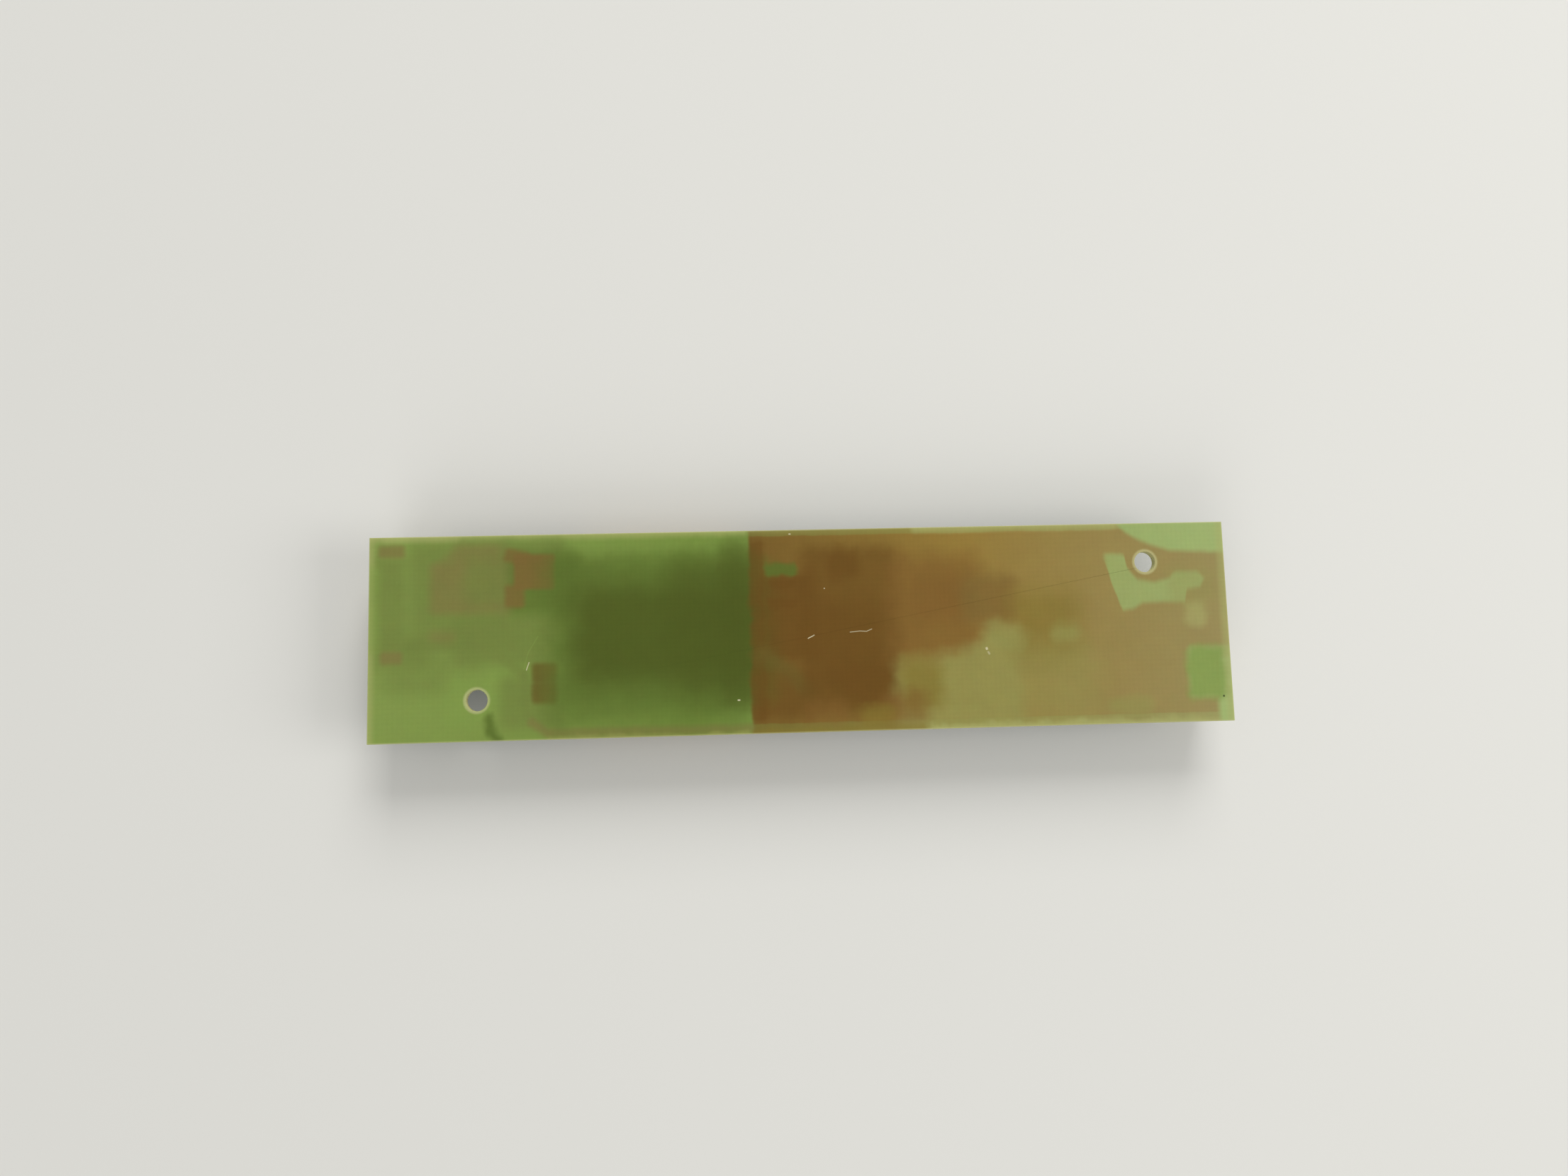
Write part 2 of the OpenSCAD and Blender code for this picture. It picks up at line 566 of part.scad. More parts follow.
module at_bulk() { under() for (y = bulk_ys) translate([bulk_x, y, 0]) rotate([0, 0, 90]) children(); }
module bulk_bodies() { color([0.62, 0.5, 0.38]) at_bulk() end_body(large_chip_l, large_chip_w, bulk_h, 0.5); }
module bulk_ends() { color([0.78, 0.78, 0.77]) at_bulk() end_caps(large_chip_l, large_chip_w, bulk_h, 0.5); }
module at_each(list) { under() for (p = list) translate([p[0], p[1], 0]) rotate([0, 0, 90]) children(); }
module resistor_bodies() {
    color([0.9, 0.9, 0.88]) at_each(resistors) end_body(chip_l, chip_w, resistor_h, 0.3);
}
module resistor_ends() {
    color([0.78, 0.78, 0.77]) at_each(resistors) end_caps(chip_l, chip_w, resistor_h, 0.3);
}
module resistor_coats() {
    color([0.06, 0.06, 0.07]) at_each(resistors)
        block(0, 0, seat + resistor_h - 0.03, chip_l - 0.7, chip_w - 0.08, 0.04);
}
module ceramic_bodies() {
    color([0.66, 0.53, 0.4]) at_each(ceramics) end_body(chip_l, chip_w, ceramic_h, 0.3);
}
module ceramic_ends() {
    color([0.78, 0.78, 0.77]) at_each(ceramics) end_caps(chip_l, chip_w, ceramic_h, 0.3);
}

module at_rails(side) {
    under() translate([side > 0 ? rails_x1 : block_x1, 0, 0]) mirror([side > 0 ? 0 : 1, 0, 0]) children();
}
module primary_pin_shapes() {
    at_rails(1) for (i = [0:primary_pins_n - 1]) translate([0, primary_y0 - i * primary_pitch, 0])
        lead(pin_w, pin_t, pin_h, 1.2, 0.7, primary_reach);
}
module secondary_pin_shapes() {
    at_rails(-1) for (y = secondary_ys) translate([0, y, 0])
        lead(pin_w, pin_t, pin_h, 1.2, 0.7, secondary_reach);
}
module primary_pins() { color([0.78, 0.76, 0.7]) primary_pin_shapes(); }
module secondary_pins() { color([0.78, 0.76, 0.7]) secondary_pin_shapes(); }
module flange_at(x) { block(x + flange_t / 2, transformer_y, seat + rail_lift, flange_t, flange_w, flange_h); }
module transformer_bobbin() {
    color([0.12, 0.12, 0.13]) difference() {
        under() difference() {
            union() {
                along_x(window_x0, window_x1, transformer_y, axis_h) square([sleeve_w, sleeve_h], center = true);
                for (i = [0:sections]) flange_at(window_x0 + i * section_pitch);
                flange_at(window_x1 - flange_t);
                for (x0 = [block_x1, window_x1 - flange_t / 2])
                    block(x0 + (window_x0 + flange_t / 2 - block_x1) / 2, transformer_y, seat + rail_lift,
                        window_x0 + flange_t / 2 - block_x1, flange_w, shelf_t);
                for (x0 = [block_x1, rails_x1 - rail_l])
                    block(x0 + rail_l / 2, transformer_y, seat + rail_lift, rail_l, rail_w, rail_h);
            }
            block(core_cx, transformer_y, axis_h - hole_h / 2, core_l, hole_w, hole_h);
        }
        primary_pin_shapes();
        secondary_pin_shapes();
    }
}
module core_half(side) {
    under() translate([core_cx, transformer_y, axis_h]) mirror([side > 0 ? 0 : 1, 0, 0]) {
        translate([core_l / 2 - yoke_t, -core_w / 2, -core_t / 2]) cube([yoke_t, core_w, core_t]);
        for (y = [-core_w / 2, core_w / 2 - outer_leg_w])
            translate([0, y, -core_t / 2]) cube([core_l / 2 - yoke_t + 0.1, outer_leg_w, core_t]);
        translate([core_gap / 2, -middle_leg_w / 2, -middle_leg_t / 2])
            cube([core_l / 2 - yoke_t, middle_leg_w, middle_leg_t]);
    }
}
module core_half_left() { color([0.2, 0.2, 0.21]) core_half(-1); }
module core_half_right() { color([0.2, 0.2, 0.21]) core_half(1); }
module core_spacer() {
    color([0.85, 0.75, 0.5]) under()
        block(core_cx, transformer_y, axis_h - middle_leg_t / 2, core_gap, middle_leg_w, middle_leg_t);
}
module core_tape() {
    color([0.85, 0.72, 0.25]) layer(axis_h + core_t / 2 - 0.3 - tape_w, axis_h + core_t / 2 - 0.3)
        translate([core_cx, transformer_y]) difference() {
            square([core_l + 2 * tape_t, core_w + 2 * tape_t], center = true);
            square([core_l, core_w], center = true);
        }
}
// Wire wound on the sleeve, as a block with rounded corners.
module wound(x0, x1, build) {
    under() along_x(x0, x1, transformer_y, axis_h) difference() {
        rounded(sleeve_w + 2 * build, sleeve_h + 2 * build, build * 0.7);
        square([sleeve_w, sleeve_h], center = true);
    }
}
module primary_winding() { color([0.7, 0.38, 0.16]) wound(primary_x0, primary_x0 + primary_l, 2 * primary_wire_d); }
module secondary_winding() {
    color([0.62, 0.3, 0.12]) for (i = [0:sections - 1])
        wound(window_x0 + i * section_pitch + flange_t, window_x0 + (i + 1) * section_pitch, secondary_build);
}

module at_choke() { under() translate([choke_x, choke_y, 0]) children(); }
module choke_drum() {
    color([0.22, 0.22, 0.23]) at_choke() translate([0, 0, drum_h0]) {
        cylinder(d = drum_d, h = drum_flange_t);
        cylinder(d = drum_waist_d, h = drum_h);
        translate([0, 0, drum_h - drum_flange_t]) cylinder(d = drum_d, h = drum_flange_t);
    }
}
module choke_winding() {
    color([0.72, 0.4, 0.17]) at_choke() translate([0, 0, drum_h0 + drum_flange_t])
        linear_extrude(drum_h - 2 * drum_flange_t) difference() {
            circle(d = drum_d - 2 * choke_recess);
            circle(d = drum_waist_d);
        }
}
module choke_base() {
    color([0.13, 0.13, 0.14]) at_choke() translate([0, 0, choke_base_h]) linear_extrude(choke_base_t) difference() {
        rounded(drum_d, drum_d, 1.6);
        for (s = [-1, 1]) translate([-clip_w / 2, s > 0 ? drum_d / 2 - clip_t : -drum_d / 2 - 1])
            square([clip_w, clip_t + 1]);
    }
}
module choke_clips() {
    color([0.8, 0.79, 0.76]) at_choke() for (a = [0, 180]) rotate([0, 0, a])
        translate([-clip_w / 2, 0, 0]) rotate([90, 0, 90]) linear_extrude(clip_w)
            polygon([[drum_d / 2 - 1.6, seat], [drum_d / 2, seat], [drum_d / 2, drum_h0],
                [drum_d / 2 - clip_t, drum_h0], [drum_d / 2 - clip_t, seat + clip_t],
                [drum_d / 2 - 1.6, seat + clip_t]]);
}

// A small-outline chip: a body with slanted sides and a row of bent leads on each long side.
module chip_leads(n) {
    for (i = [0:n - 1], a = [0, 180]) rotate([0, 0, a + 90])
        translate([chip_body_w / 2, (i - (n - 1) / 2) * lead_pitch, 0])
            lead(lead_w, lead_t, seat + chip_lift + chip_body_t / 2, 0.45, 0.4, (chip_span - chip_body_w) / 2);
}
module chip_body(l, n) {
    difference() {
        along_x(-l / 2, l / 2, 0, seat + chip_lift) polygon([[-chip_body_w / 2 + 0.12, 0],
            [chip_body_w / 2 - 0.12, 0], [chip_body_w / 2, chip_body_t / 2 - lead_t / 2],
            [chip_body_w / 2, chip_body_t / 2 + lead_t / 2], [chip_body_w / 2 - 0.14, chip_body_t],
            [-chip_body_w / 2 + 0.14, chip_body_t], [-chip_body_w / 2, chip_body_t / 2 + lead_t / 2],
            [-chip_body_w / 2, chip_body_t / 2 - lead_t / 2]]);
        chip_leads(n);
        translate([-l / 2 + 0.75, -chip_body_w / 2 + 0.85, seat + chip_lift + chip_body_t - 0.1])
            cylinder(d = 0.7, h = 1, $fn = 24);
    }
}
module at_chip(x, y) { under() translate([x, y, 0]) children(); }
module switch_body() { color([0.1, 0.1, 0.11]) at_chip(switch_x, switch_y) chip_body(switch_l, 4); }
module switch_leads() { color([0.78, 0.78, 0.76]) at_chip(switch_x, switch_y) chip_leads(4); }
module regulator_body() { color([0.1, 0.1, 0.11]) at_chip(regulator_x, switch_y) chip_body(switch_l, 4); }
module regulator_leads() { color([0.78, 0.78, 0.76]) at_chip(regulator_x, switch_y) chip_leads(4); }
module control_body() {
    color([0.1, 0.1, 0.11]) at_chip(control_x, control_y) chip_body(control_l, control_leads_n);
}
module control_leads() { color([0.78, 0.78, 0.76]) at_chip(control_x, control_y) chip_leads(control_leads_n); }

module diode_lead_shapes() {
    for (a = [0, 180]) rotate([0, 0, a]) rotate([90, 0, 0]) translate([0, 0, -0.75]) linear_extrude(1.5)
        polygon([[diode_l / 2 - 0.9, seat], [diode_l / 2 + 0.45, seat], [diode_l / 2 + 0.45, seat + 1.2],
            [diode_l / 2 - 0.3, seat + 1.2], [diode_l / 2 - 0.3, seat + 1], [diode_l / 2 + 0.25, seat + 1],
            [diode_l / 2 + 0.25, seat + 0.2], [diode_l / 2 - 0.9, seat + 0.2]]);
}
module diode_body() {
    color([0.1, 0.1, 0.11]) under() translate([diode_x, diode_y, 0]) difference() {
        union() {
            block(0, 0, seat + 0.2, diode_l, diode_w, 0.9);
            block(0, 0, seat + 1.1, diode_l - 0.2, diode_w - 0.2, diode_h - 1.1);
        }
        diode_lead_shapes();
    }
}
module diode_leads() { color([0.78, 0.78, 0.76]) under() translate([diode_x, diode_y, 0]) diode_lead_shapes(); }

small_l = 2.9;
small_w = 1.3;
small_h = 0.95;
module small_lead_shapes() {
    for (x = [-0.95, 0.95]) rotate([0, 0, -90]) translate([small_w / 2, x, 0])
        lead(0.4, 0.14, seat + 0.55, 0.25, 0.28, 0.6);
    rotate([0, 0, 90]) translate([small_w / 2, 0, 0]) lead(0.4, 0.14, seat + 0.55, 0.25, 0.28, 0.6);
}
module at_small() { under() for (p = small_diodes) translate([p[0], p[1], 0]) children(); }
module small_diode_bodies() {
    color([0.1, 0.1, 0.11]) at_small() difference() {
        block(0, 0, seat + 0.06, small_l, small_w, small_h);
        small_lead_shapes();
    }
}
module small_diode_leads() { color([0.78, 0.78, 0.76]) at_small() small_lead_shapes(); }

// The electrolytic capacitor: a hollow can closed by a rubber bung, standing in a plastic base.
can_h0 = seat + 0.25;
can_h1 = can_h0 + can_base_t;
bung_t = 1.2;
bead = 0.3;
module at_can() { under() translate([can_x, can_y, 0]) children(); }
module can_shell() {
    r = can_d / 2;
    h = tall_h - can_h1;
    color([0.8, 0.8, 0.8]) at_can() translate([0, 0, can_h1]) rotate_extrude() polygon([
        [r - can_wall, 0], [r - 0.1, 0], [r, 0.15], [r, 0.5], [r - bead, 0.8], [r - bead, 0.95], [r, 1.25],
        [r, h - 0.35], [r - 0.1, h - 0.1], [r - 0.35, h], [0, h], [0, h - can_wall], [r - can_wall, h - can_wall],
        [r - can_wall, 1.35], [r - can_wall - bead, 1.1], [r - can_wall - bead, 0.65], [r - can_wall, 0.4]]);
}
module can_bung() {
    r = can_d / 2 - can_wall;
    color([0.16, 0.16, 0.17]) at_can() difference() {
        translate([0, 0, can_h1]) rotate_extrude() polygon([[0, 0], [r, 0], [r, 0.4], [r - bead, 0.65],
            [r - bead, 1.1], [r, 1.35], [r, 1.45], [0, 1.45]]);
        can_lead_shapes();
    }
}
module can_roll() {
    color([0.75, 0.7, 0.6]) at_can() translate([0, 0, can_h1 + 1.45])
        cylinder(d = can_d - 2 * can_wall - 0.4, h = tall_h - can_h1 - 1.45 - can_wall);
}
module can_lead_shapes() {
    for (a = [0, 180]) rotate([0, 0, a]) {
        rotate([90, 0, 90]) translate([0, 0, -0.4]) linear_extrude(0.8)
            polygon([[0.85, seat], [can_side / 2 + 0.5, seat], [can_side / 2 + 0.5, can_h0], [1.25, can_h0],
                [1.25, can_h1 + 1.45], [0.85, can_h1 + 1.45]]);
    }
}
module can_leads() { color([0.78, 0.78, 0.76]) at_can() can_lead_shapes(); }
module can_base() {
    c = can_side / 2;
    color([0.1, 0.1, 0.11]) at_can() difference() {
        translate([0, 0, can_h0]) linear_extrude(can_base_t) polygon([[-c, -c], [c - 1.2, -c], [c, 1.2 - c],
            [c, c - 1.2], [c - 1.2, c], [-c, c]]);
        can_lead_shapes();
        for (s = [-1, 1]) block(s * c * 0.62, 0, can_h0 + can_base_t - 0.25, 1, 1.2, 1);
    }
}

laminate();
ground_foil();
pad_foil();
high_voltage_foil();
solder_mask();
solder_coats();
output_housing();
output_contacts();
output_tabs();
ballast_body();
ballast_ends();
transformer_bobbin();
core_half_left();
core_half_right();
core_spacer();
core_tape();
primary_winding();
secondary_winding();
primary_pins();
secondary_pins();
choke_drum();
choke_winding();
choke_base();
choke_clips();
film_body();
film_ends();
switch_body();
switch_leads();
regulator_body();
regulator_leads();
control_body();
control_leads();
diode_body();
diode_leads();
can_shell();
can_roll();
can_bung();
can_base();
can_leads();
fuse_body();
fuse_ends();
bulk_bodies();
bulk_ends();
resistor_bodies();
resistor_ends();
resistor_coats();
ceramic_bodies();
ceramic_ends();
small_diode_bodies();
small_diode_leads();
input_housing();
input_contacts();
input_tabs();
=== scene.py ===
import math

import bmesh
import bpy
from bpy.props import FloatProperty, FloatVectorProperty, PointerProperty
from bpy.types import Operator, Panel, PropertyGroup
from mathutils import Matrix, Vector


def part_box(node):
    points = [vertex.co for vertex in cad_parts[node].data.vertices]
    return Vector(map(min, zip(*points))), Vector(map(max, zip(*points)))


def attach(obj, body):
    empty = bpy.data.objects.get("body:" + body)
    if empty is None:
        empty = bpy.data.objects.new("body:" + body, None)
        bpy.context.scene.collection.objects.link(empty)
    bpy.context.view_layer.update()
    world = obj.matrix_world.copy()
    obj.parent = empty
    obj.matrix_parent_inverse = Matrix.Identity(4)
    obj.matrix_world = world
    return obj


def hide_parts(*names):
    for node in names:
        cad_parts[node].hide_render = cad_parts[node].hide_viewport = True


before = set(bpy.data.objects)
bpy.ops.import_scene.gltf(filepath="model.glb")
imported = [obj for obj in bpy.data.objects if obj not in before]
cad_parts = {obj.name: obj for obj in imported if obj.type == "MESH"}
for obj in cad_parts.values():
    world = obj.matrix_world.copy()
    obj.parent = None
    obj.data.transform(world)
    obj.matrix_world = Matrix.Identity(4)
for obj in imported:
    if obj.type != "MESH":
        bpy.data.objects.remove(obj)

bl_info = {
    "name": "Backlight inverter board",
    "version": (1, 0, 0),
    "blender": (4, 5, 0),
    "location": "3D View > Sidebar > Inverter board",
    "description": "Finishes and small details of a narrow backlight inverter board lying on its parts",
    "category": "Object",
}

MM = 0.001
BODY = "root"


def box_mm(name):
    """Lowest and highest corner of a CAD node, in millimetres."""
    low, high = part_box(name)
    return low / MM, high / MM


BOARD_LOW, BOARD_HIGH = box_mm("laminate")
MASK_LOW = box_mm("solder_mask")[0].z
# The screw holes: how far they are from the ends and from the long edges, and their radius, in mm.
LEFT_INSET, RIGHT_INSET, EDGE_INSET = 12.0, 9.4, 4.55
SCREW_HOLES = ((BOARD_LOW.x + LEFT_INSET, BOARD_LOW.y + EDGE_INSET),
               (BOARD_HIGH.x - RIGHT_INSET, BOARD_HIGH.y - EDGE_INSET))
HOLE_RADIUS = 1.2
# How thick the transformer's windings are, and how far from its axis the choke's wire starts, in mm.
PRIMARY_BUILD, SECONDARY_BUILD, CHOKE_INNER = 0.8, 1.05, 2.25
# The camera: its frame's width and focal length in pixels, its sensor's width in mm, its place in mm and its
# turn in degrees.
IMAGE_WIDTH, FOCAL_PIXELS, SENSOR_WIDTH = 2212, 1500, 36
CAMERA_PLACE, CAMERA_TURN = (-8.078, -7.493, 127.708), (5.9149, -2.5443, -1.5129)
# A Wave texture's scale for one band per millimetre, and the height of a surface's grain in mm.
ONE_BAND, GRAIN = 0.314, 0.02


# ---------------------------------------- sizes and colours

class StudioSettings(PropertyGroup):
    floor_colour: FloatVectorProperty(
        name="Floor", description="Colour of the bench under the board",
        subtype="COLOR", size=3, min=0, max=1, default=(0.735, 0.728, 0.684))
    floor_size: FloatProperty(
        name="Floor size", description="Length of each side of the bench",
        unit="LENGTH", default=1.4, min=0.5)
    sky: FloatProperty(
        name="Sky", description="Strength of the even light from all round", default=0.42, min=0)
    lamp: FloatProperty(
        name="Main lamp", description="Power of the soft lamp behind the board, in watts",
        default=5.9, min=0)
    side: FloatProperty(
        name="Side lamp", description="Power of the soft lamp off the right end, in watts",
        default=1.5, min=0)
    front: FloatProperty(
        name="Front lamp", description="Power of the weak soft lamp in front, in watts",
        default=1.5, min=0)


class BoardLook(PropertyGroup):
    weave_pitch: FloatProperty(
        name="Weave pitch", description="Distance between two threads of the glass cloth",
        unit="LENGTH", default=0.00055, min=0.0001)
    weave_depth: FloatProperty(
        name="Weave depth", description="How strongly the glass cloth shows in the surface",
        default=0.1, min=0, max=1)
    cloudiness: FloatProperty(
        name="Cloudiness", description="How far the colour drifts from place to place in the laminate",
        default=0.09, min=0, max=1)
    weave_tone: FloatProperty(
        name="Weave tone", description="How much lighter a thread crossing is than the gap beside it",
        default=0.03, min=0, max=1)
    cut_edge: FloatProperty(
        name="Cut edge", description="How pale the sawn border and the rims of the holes are",
        default=0.5, min=0, max=1)
    ply: FloatProperty(
        name="Layer", description="Thickness of one layer of glass cloth in the laminate",
        unit="LENGTH", default=0.00018, min=0.00005)
    edge_round: FloatProperty(
        name="Edge round", description="Width of the broken edge of the laminate",
        unit="LENGTH", default=0.00006, min=0)


class WindingSizes(PropertyGroup):
    primary_wire: FloatProperty(
        name="Low-voltage wire", description="Diameter of the low-voltage wire",
        unit="LENGTH", default=0.0004, min=0.0001)
    secondary_wire: FloatProperty(
        name="High-voltage rib", description="Width of a visible rib of the fine high-voltage wire",
        unit="LENGTH", default=0.00014, min=0.00005)
    choke_wire: FloatProperty(
        name="Choke wire", description="Diameter of the choke's wire",
        unit="LENGTH", default=0.00055, min=0.0001)


class SolderSizes(PropertyGroup):
    least_run: FloatProperty(
        name="Least run", description="Solder is shown on a side only where the pad reaches this far",
        unit="LENGTH", default=0.00012, min=0)
    print_width: FloatProperty(
        name="Print width", description="Width of the white printed lines",
        unit="LENGTH", default=0.00015, min=0.00005)


GROUPS = (("studio", StudioSettings), ("board", BoardLook), ("windings", WindingSizes),
          ("solder", SolderSizes))


# ---------------------------------------- materials

def linear(code):
    """A colour written as sRGB hex, as the linear RGBA that a shader takes."""
    parts = [int(code[i:i + 2], 16) / 255 for i in (1, 3, 5)]
    return tuple(c / 12.92 if c <= 0.04045 else ((c + 0.055) / 1.055) ** 2.4 for c in parts) + (1.0,)


def add(tree, kind, links=None, **settings):
    """Adds one node with its settings; each link is a socket to join or a value to set."""
    made = tree.nodes.new(kind)
    for key, value in settings.items():
        setattr(made, key, value)
    for key, value in (links or {}).items():
        if isinstance(value, bpy.types.NodeSocket):
            tree.links.new(value, made.inputs[key])
        else:
            made.inputs[key].default_value = value
    return made


def start_material(name, **sockets):
    """An empty material with its shader, and the object's coordinates in millimetres."""
    material = bpy.data.materials.new(name)
    material.use_nodes = True
    tree = material.node_tree
    shader = tree.nodes["Principled BSDF"]
    for key, value in sockets.items():
        shader.inputs[key.replace("_", " ")].default_value = value
    here = add(tree, "ShaderNodeTexCoord").outputs["Object"]
    place = add(tree, "ShaderNodeVectorMath", {0: here, 1: (1 / MM,) * 3}, operation="MULTIPLY").outputs[0]
    return material, tree, shader, place


def mottle(tree, shader, place, dark, light, size, detail=3.0, rough=(0.4, 0.6), bump=0.0):
    """Colour, roughness and relief that drift together; size is the width of a patch in mm."""
    noise = add(tree, "ShaderNodeTexNoise", {"Vector": place, "Scale": 1 / size, "Detail": detail}).outputs[0]
    colour = add(tree, "ShaderNodeMix", {0: noise, 6: linear(dark), 7: linear(light)},
                 data_type="RGBA").outputs[2]
    tree.links.new(colour, shader.inputs["Base Color"])
    roughness = add(tree, "ShaderNodeMapRange", {0: noise, 3: rough[0], 4: rough[1]})
    tree.links.new(roughness.outputs[0], shader.inputs["Roughness"])
    if bump:
        relief = add(tree, "ShaderNodeBump", {"Strength": bump, "Distance": GRAIN * MM, "Height": noise})
        tree.links.new(relief.outputs[0], shader.inputs["Normal"])
    return colour


def soft_patch(tree, place, x0, x1, y0, y1, blur, turn=0.0):
    """1 inside a rounded box, falling to 0 over the blur; the box may be turned about its middle."""
    middle = ((x0 + x1) / 2, (y0 + y1) / 2, 0)
    if turn:
        place = add(tree, "ShaderNodeVectorRotate", {"Vector": place, "Center": middle, "Angle": -turn},
                    rotation_type="Z_AXIS").outputs[0]
    half = (max(abs(x1 - x0) / 2 - blur / 2, 0.01), max(abs(y1 - y0) / 2 - blur / 2, 0.01), 1)
    zero = (0, 0, 0)
    for operation, by in (("SUBTRACT", middle), ("ABSOLUTE", zero), ("SUBTRACT", half), ("MAXIMUM", zero)):
        place = add(tree, "ShaderNodeVectorMath", {0: place, 1: by}, operation=operation).outputs[0]
    away = add(tree, "ShaderNodeVectorMath", {0: place}, operation="LENGTH").outputs["Value"]
    return add(tree, "ShaderNodeMapRange", {0: away, 1: 0.0, 2: blur, 3: 1.0, 4: 0.0},
               interpolation_type="SMOOTHSTEP").outputs[0]


def soft_line(tree, place, start, end, width, blur):
    """1 on a straight stroke from start to end, falling to 0 over the blur."""
    run = math.hypot(end[0] - start[0], end[1] - start[1])
    x, y = (start[0] + end[0]) / 2, (start[1] + end[1]) / 2
    reach = (run + blur) / 2
    return soft_patch(tree, place, x - reach, x + reach, y - width / 2, y + width / 2, blur,
                      math.atan2(end[1] - start[1], end[0] - start[0]))


def beyond_edge(tree, place, points, blur, side=1):
    """1 on one side of a bent border, given as points along x; side 1 is above it, -1 below."""
    split = add(tree, "ShaderNodeSeparateXYZ", {0: place})
    x0, x1 = points[0][0], points[-1][0]
    y0, y1 = min(p[1] for p in points) - 1, max(p[1] for p in points) + 1
    share = add(tree, "ShaderNodeMapRange", {0: split.outputs[0], 1: x0, 2: x1})
    bend = add(tree, "ShaderNodeFloatCurve", {1: share.outputs[0]})
    curve = bend.mapping.curves[0]
    curve.points[0].location = (0, (points[0][1] - y0) / (y1 - y0))
    curve.points[-1].location = (1, (points[-1][1] - y0) / (y1 - y0))
    for x, y in points[1:-1]:
        curve.points.new((x - x0) / (x1 - x0), (y - y0) / (y1 - y0))
    for point in curve.points:
        point.handle_type = "VECTOR"
    bend.mapping.update()
    border = add(tree, "ShaderNodeMapRange", {0: bend.outputs[0], 3: y0, 4: y1})
    over = add(tree, "ShaderNodeMath", {0: split.outputs[1], 1: border.outputs[0]}, operation="SUBTRACT")
    return add(tree, "ShaderNodeMapRange", {0: over.outputs[0], 1: -blur / 2 * side, 2: blur / 2 * side},
               interpolation_type="SMOOTHSTEP").outputs[0]


def soft_form(tree, place, form, blur):
    """The mask of one form from the lists below: 1 inside it, falling to 0 over the blur."""
    if not isinstance(form[0], str):
        return soft_patch(tree, place, *form, blur)
    kind, *given = form
    if kind == "turned":
        *sides, turn = given
        return soft_patch(tree, place, *sides, blur, math.radians(turn))
    if kind == "line":
        points, width = given
        return together(tree, "MAXIMUM", *[soft_line(tree, place, start, end, width, blur)
                                           for start, end in zip(points, points[1:])])
    if kind == "both":
        return together(tree, "MULTIPLY", *[soft_form(tree, place, part, blur) for part in given])
    return beyond_edge(tree, place, given[0], blur, 1 if kind == "above" else -1)


def together(tree, operation, *masks):
    """Several masks joined by one Math operation, such as MAXIMUM or MULTIPLY."""
    joined = masks[0]
    for mask in masks[1:]:
        joined = add(tree, "ShaderNodeMath", {0: joined, 1: mask}, operation=operation).outputs[0]
    return joined


def along_board(tree, place, stops):
    """A colour that changes along the board's length; stops are (x in mm, colour)."""
    along = add(tree, "ShaderNodeSeparateXYZ", {0: place}).outputs[0]
    first, last = stops[0][0], stops[-1][0]
    share = add(tree, "ShaderNodeMapRange", {0: along, 1: first, 2: last}).outputs[0]
    ramp = add(tree, "ShaderNodeValToRGB", {0: share})
    elements = ramp.color_ramp.elements
    elements[0].color, elements[1].color = linear(stops[0][1]), linear(stops[-1][1])
    for x, code in stops[1:-1]:
        elements.new((x - first) / (last - first)).color = linear(code)
    return ramp.outputs[0]


# The laminate's tones, each named for what it mostly stands for.
PALE_RESIN_AND_LIGHT = "#ABAE6C"  # paler rims: resin past the foil, with painted light from under the edges
LIVELY_RESIN_AND_LIGHT = "#7F9748"  # livelier green: mostly painted light where more light gets under the board; a bare patch, a scratch
DULL_RESIN_AND_SHADE = "#707E3D"  # greyer green: painted shade of the parts at the left end, and the return track
OLIVE_PALE = "#929050"  # lighter fields over the foil plane
OLIVE_BROWN = "#80702E"  # between such a field and a shade
FOIL_FAINT = "#7B7540"  # foil that shows faintly
STRONG_FOIL_AND_SHADE = "#776232"  # foil that shows strongly, and the switch chip's painted shade
PAD_DARK = "#665A27"  # pads within a shade
SHADE_GREEN = "#586A2A"  # shade where there is no foil
SHADE_DEEP = "#4B551D"  # the middle of the transformer's shade
SHADE_BROWN = "#66471A"  # shade on the foil plane
SHADE_RED = "#7A5829"  # the chips' shade on the foil plane
SCUFF = "#DAD2AE"  # a scratch or a speck of dust

# The laminate's colour along the board, without and with the foil plane behind it: (x in mm, colour). Both
# ramps are partly painted light and shade: darker by the transformer and choke, lighter towards the right
# end.
GREENS = ((-49, "#80944A"), (-12, "#70883A"), (49, "#A2B672"))
BROWNS = ((-7, "#725726"), (18, "#927838"), (49, "#998C58"))
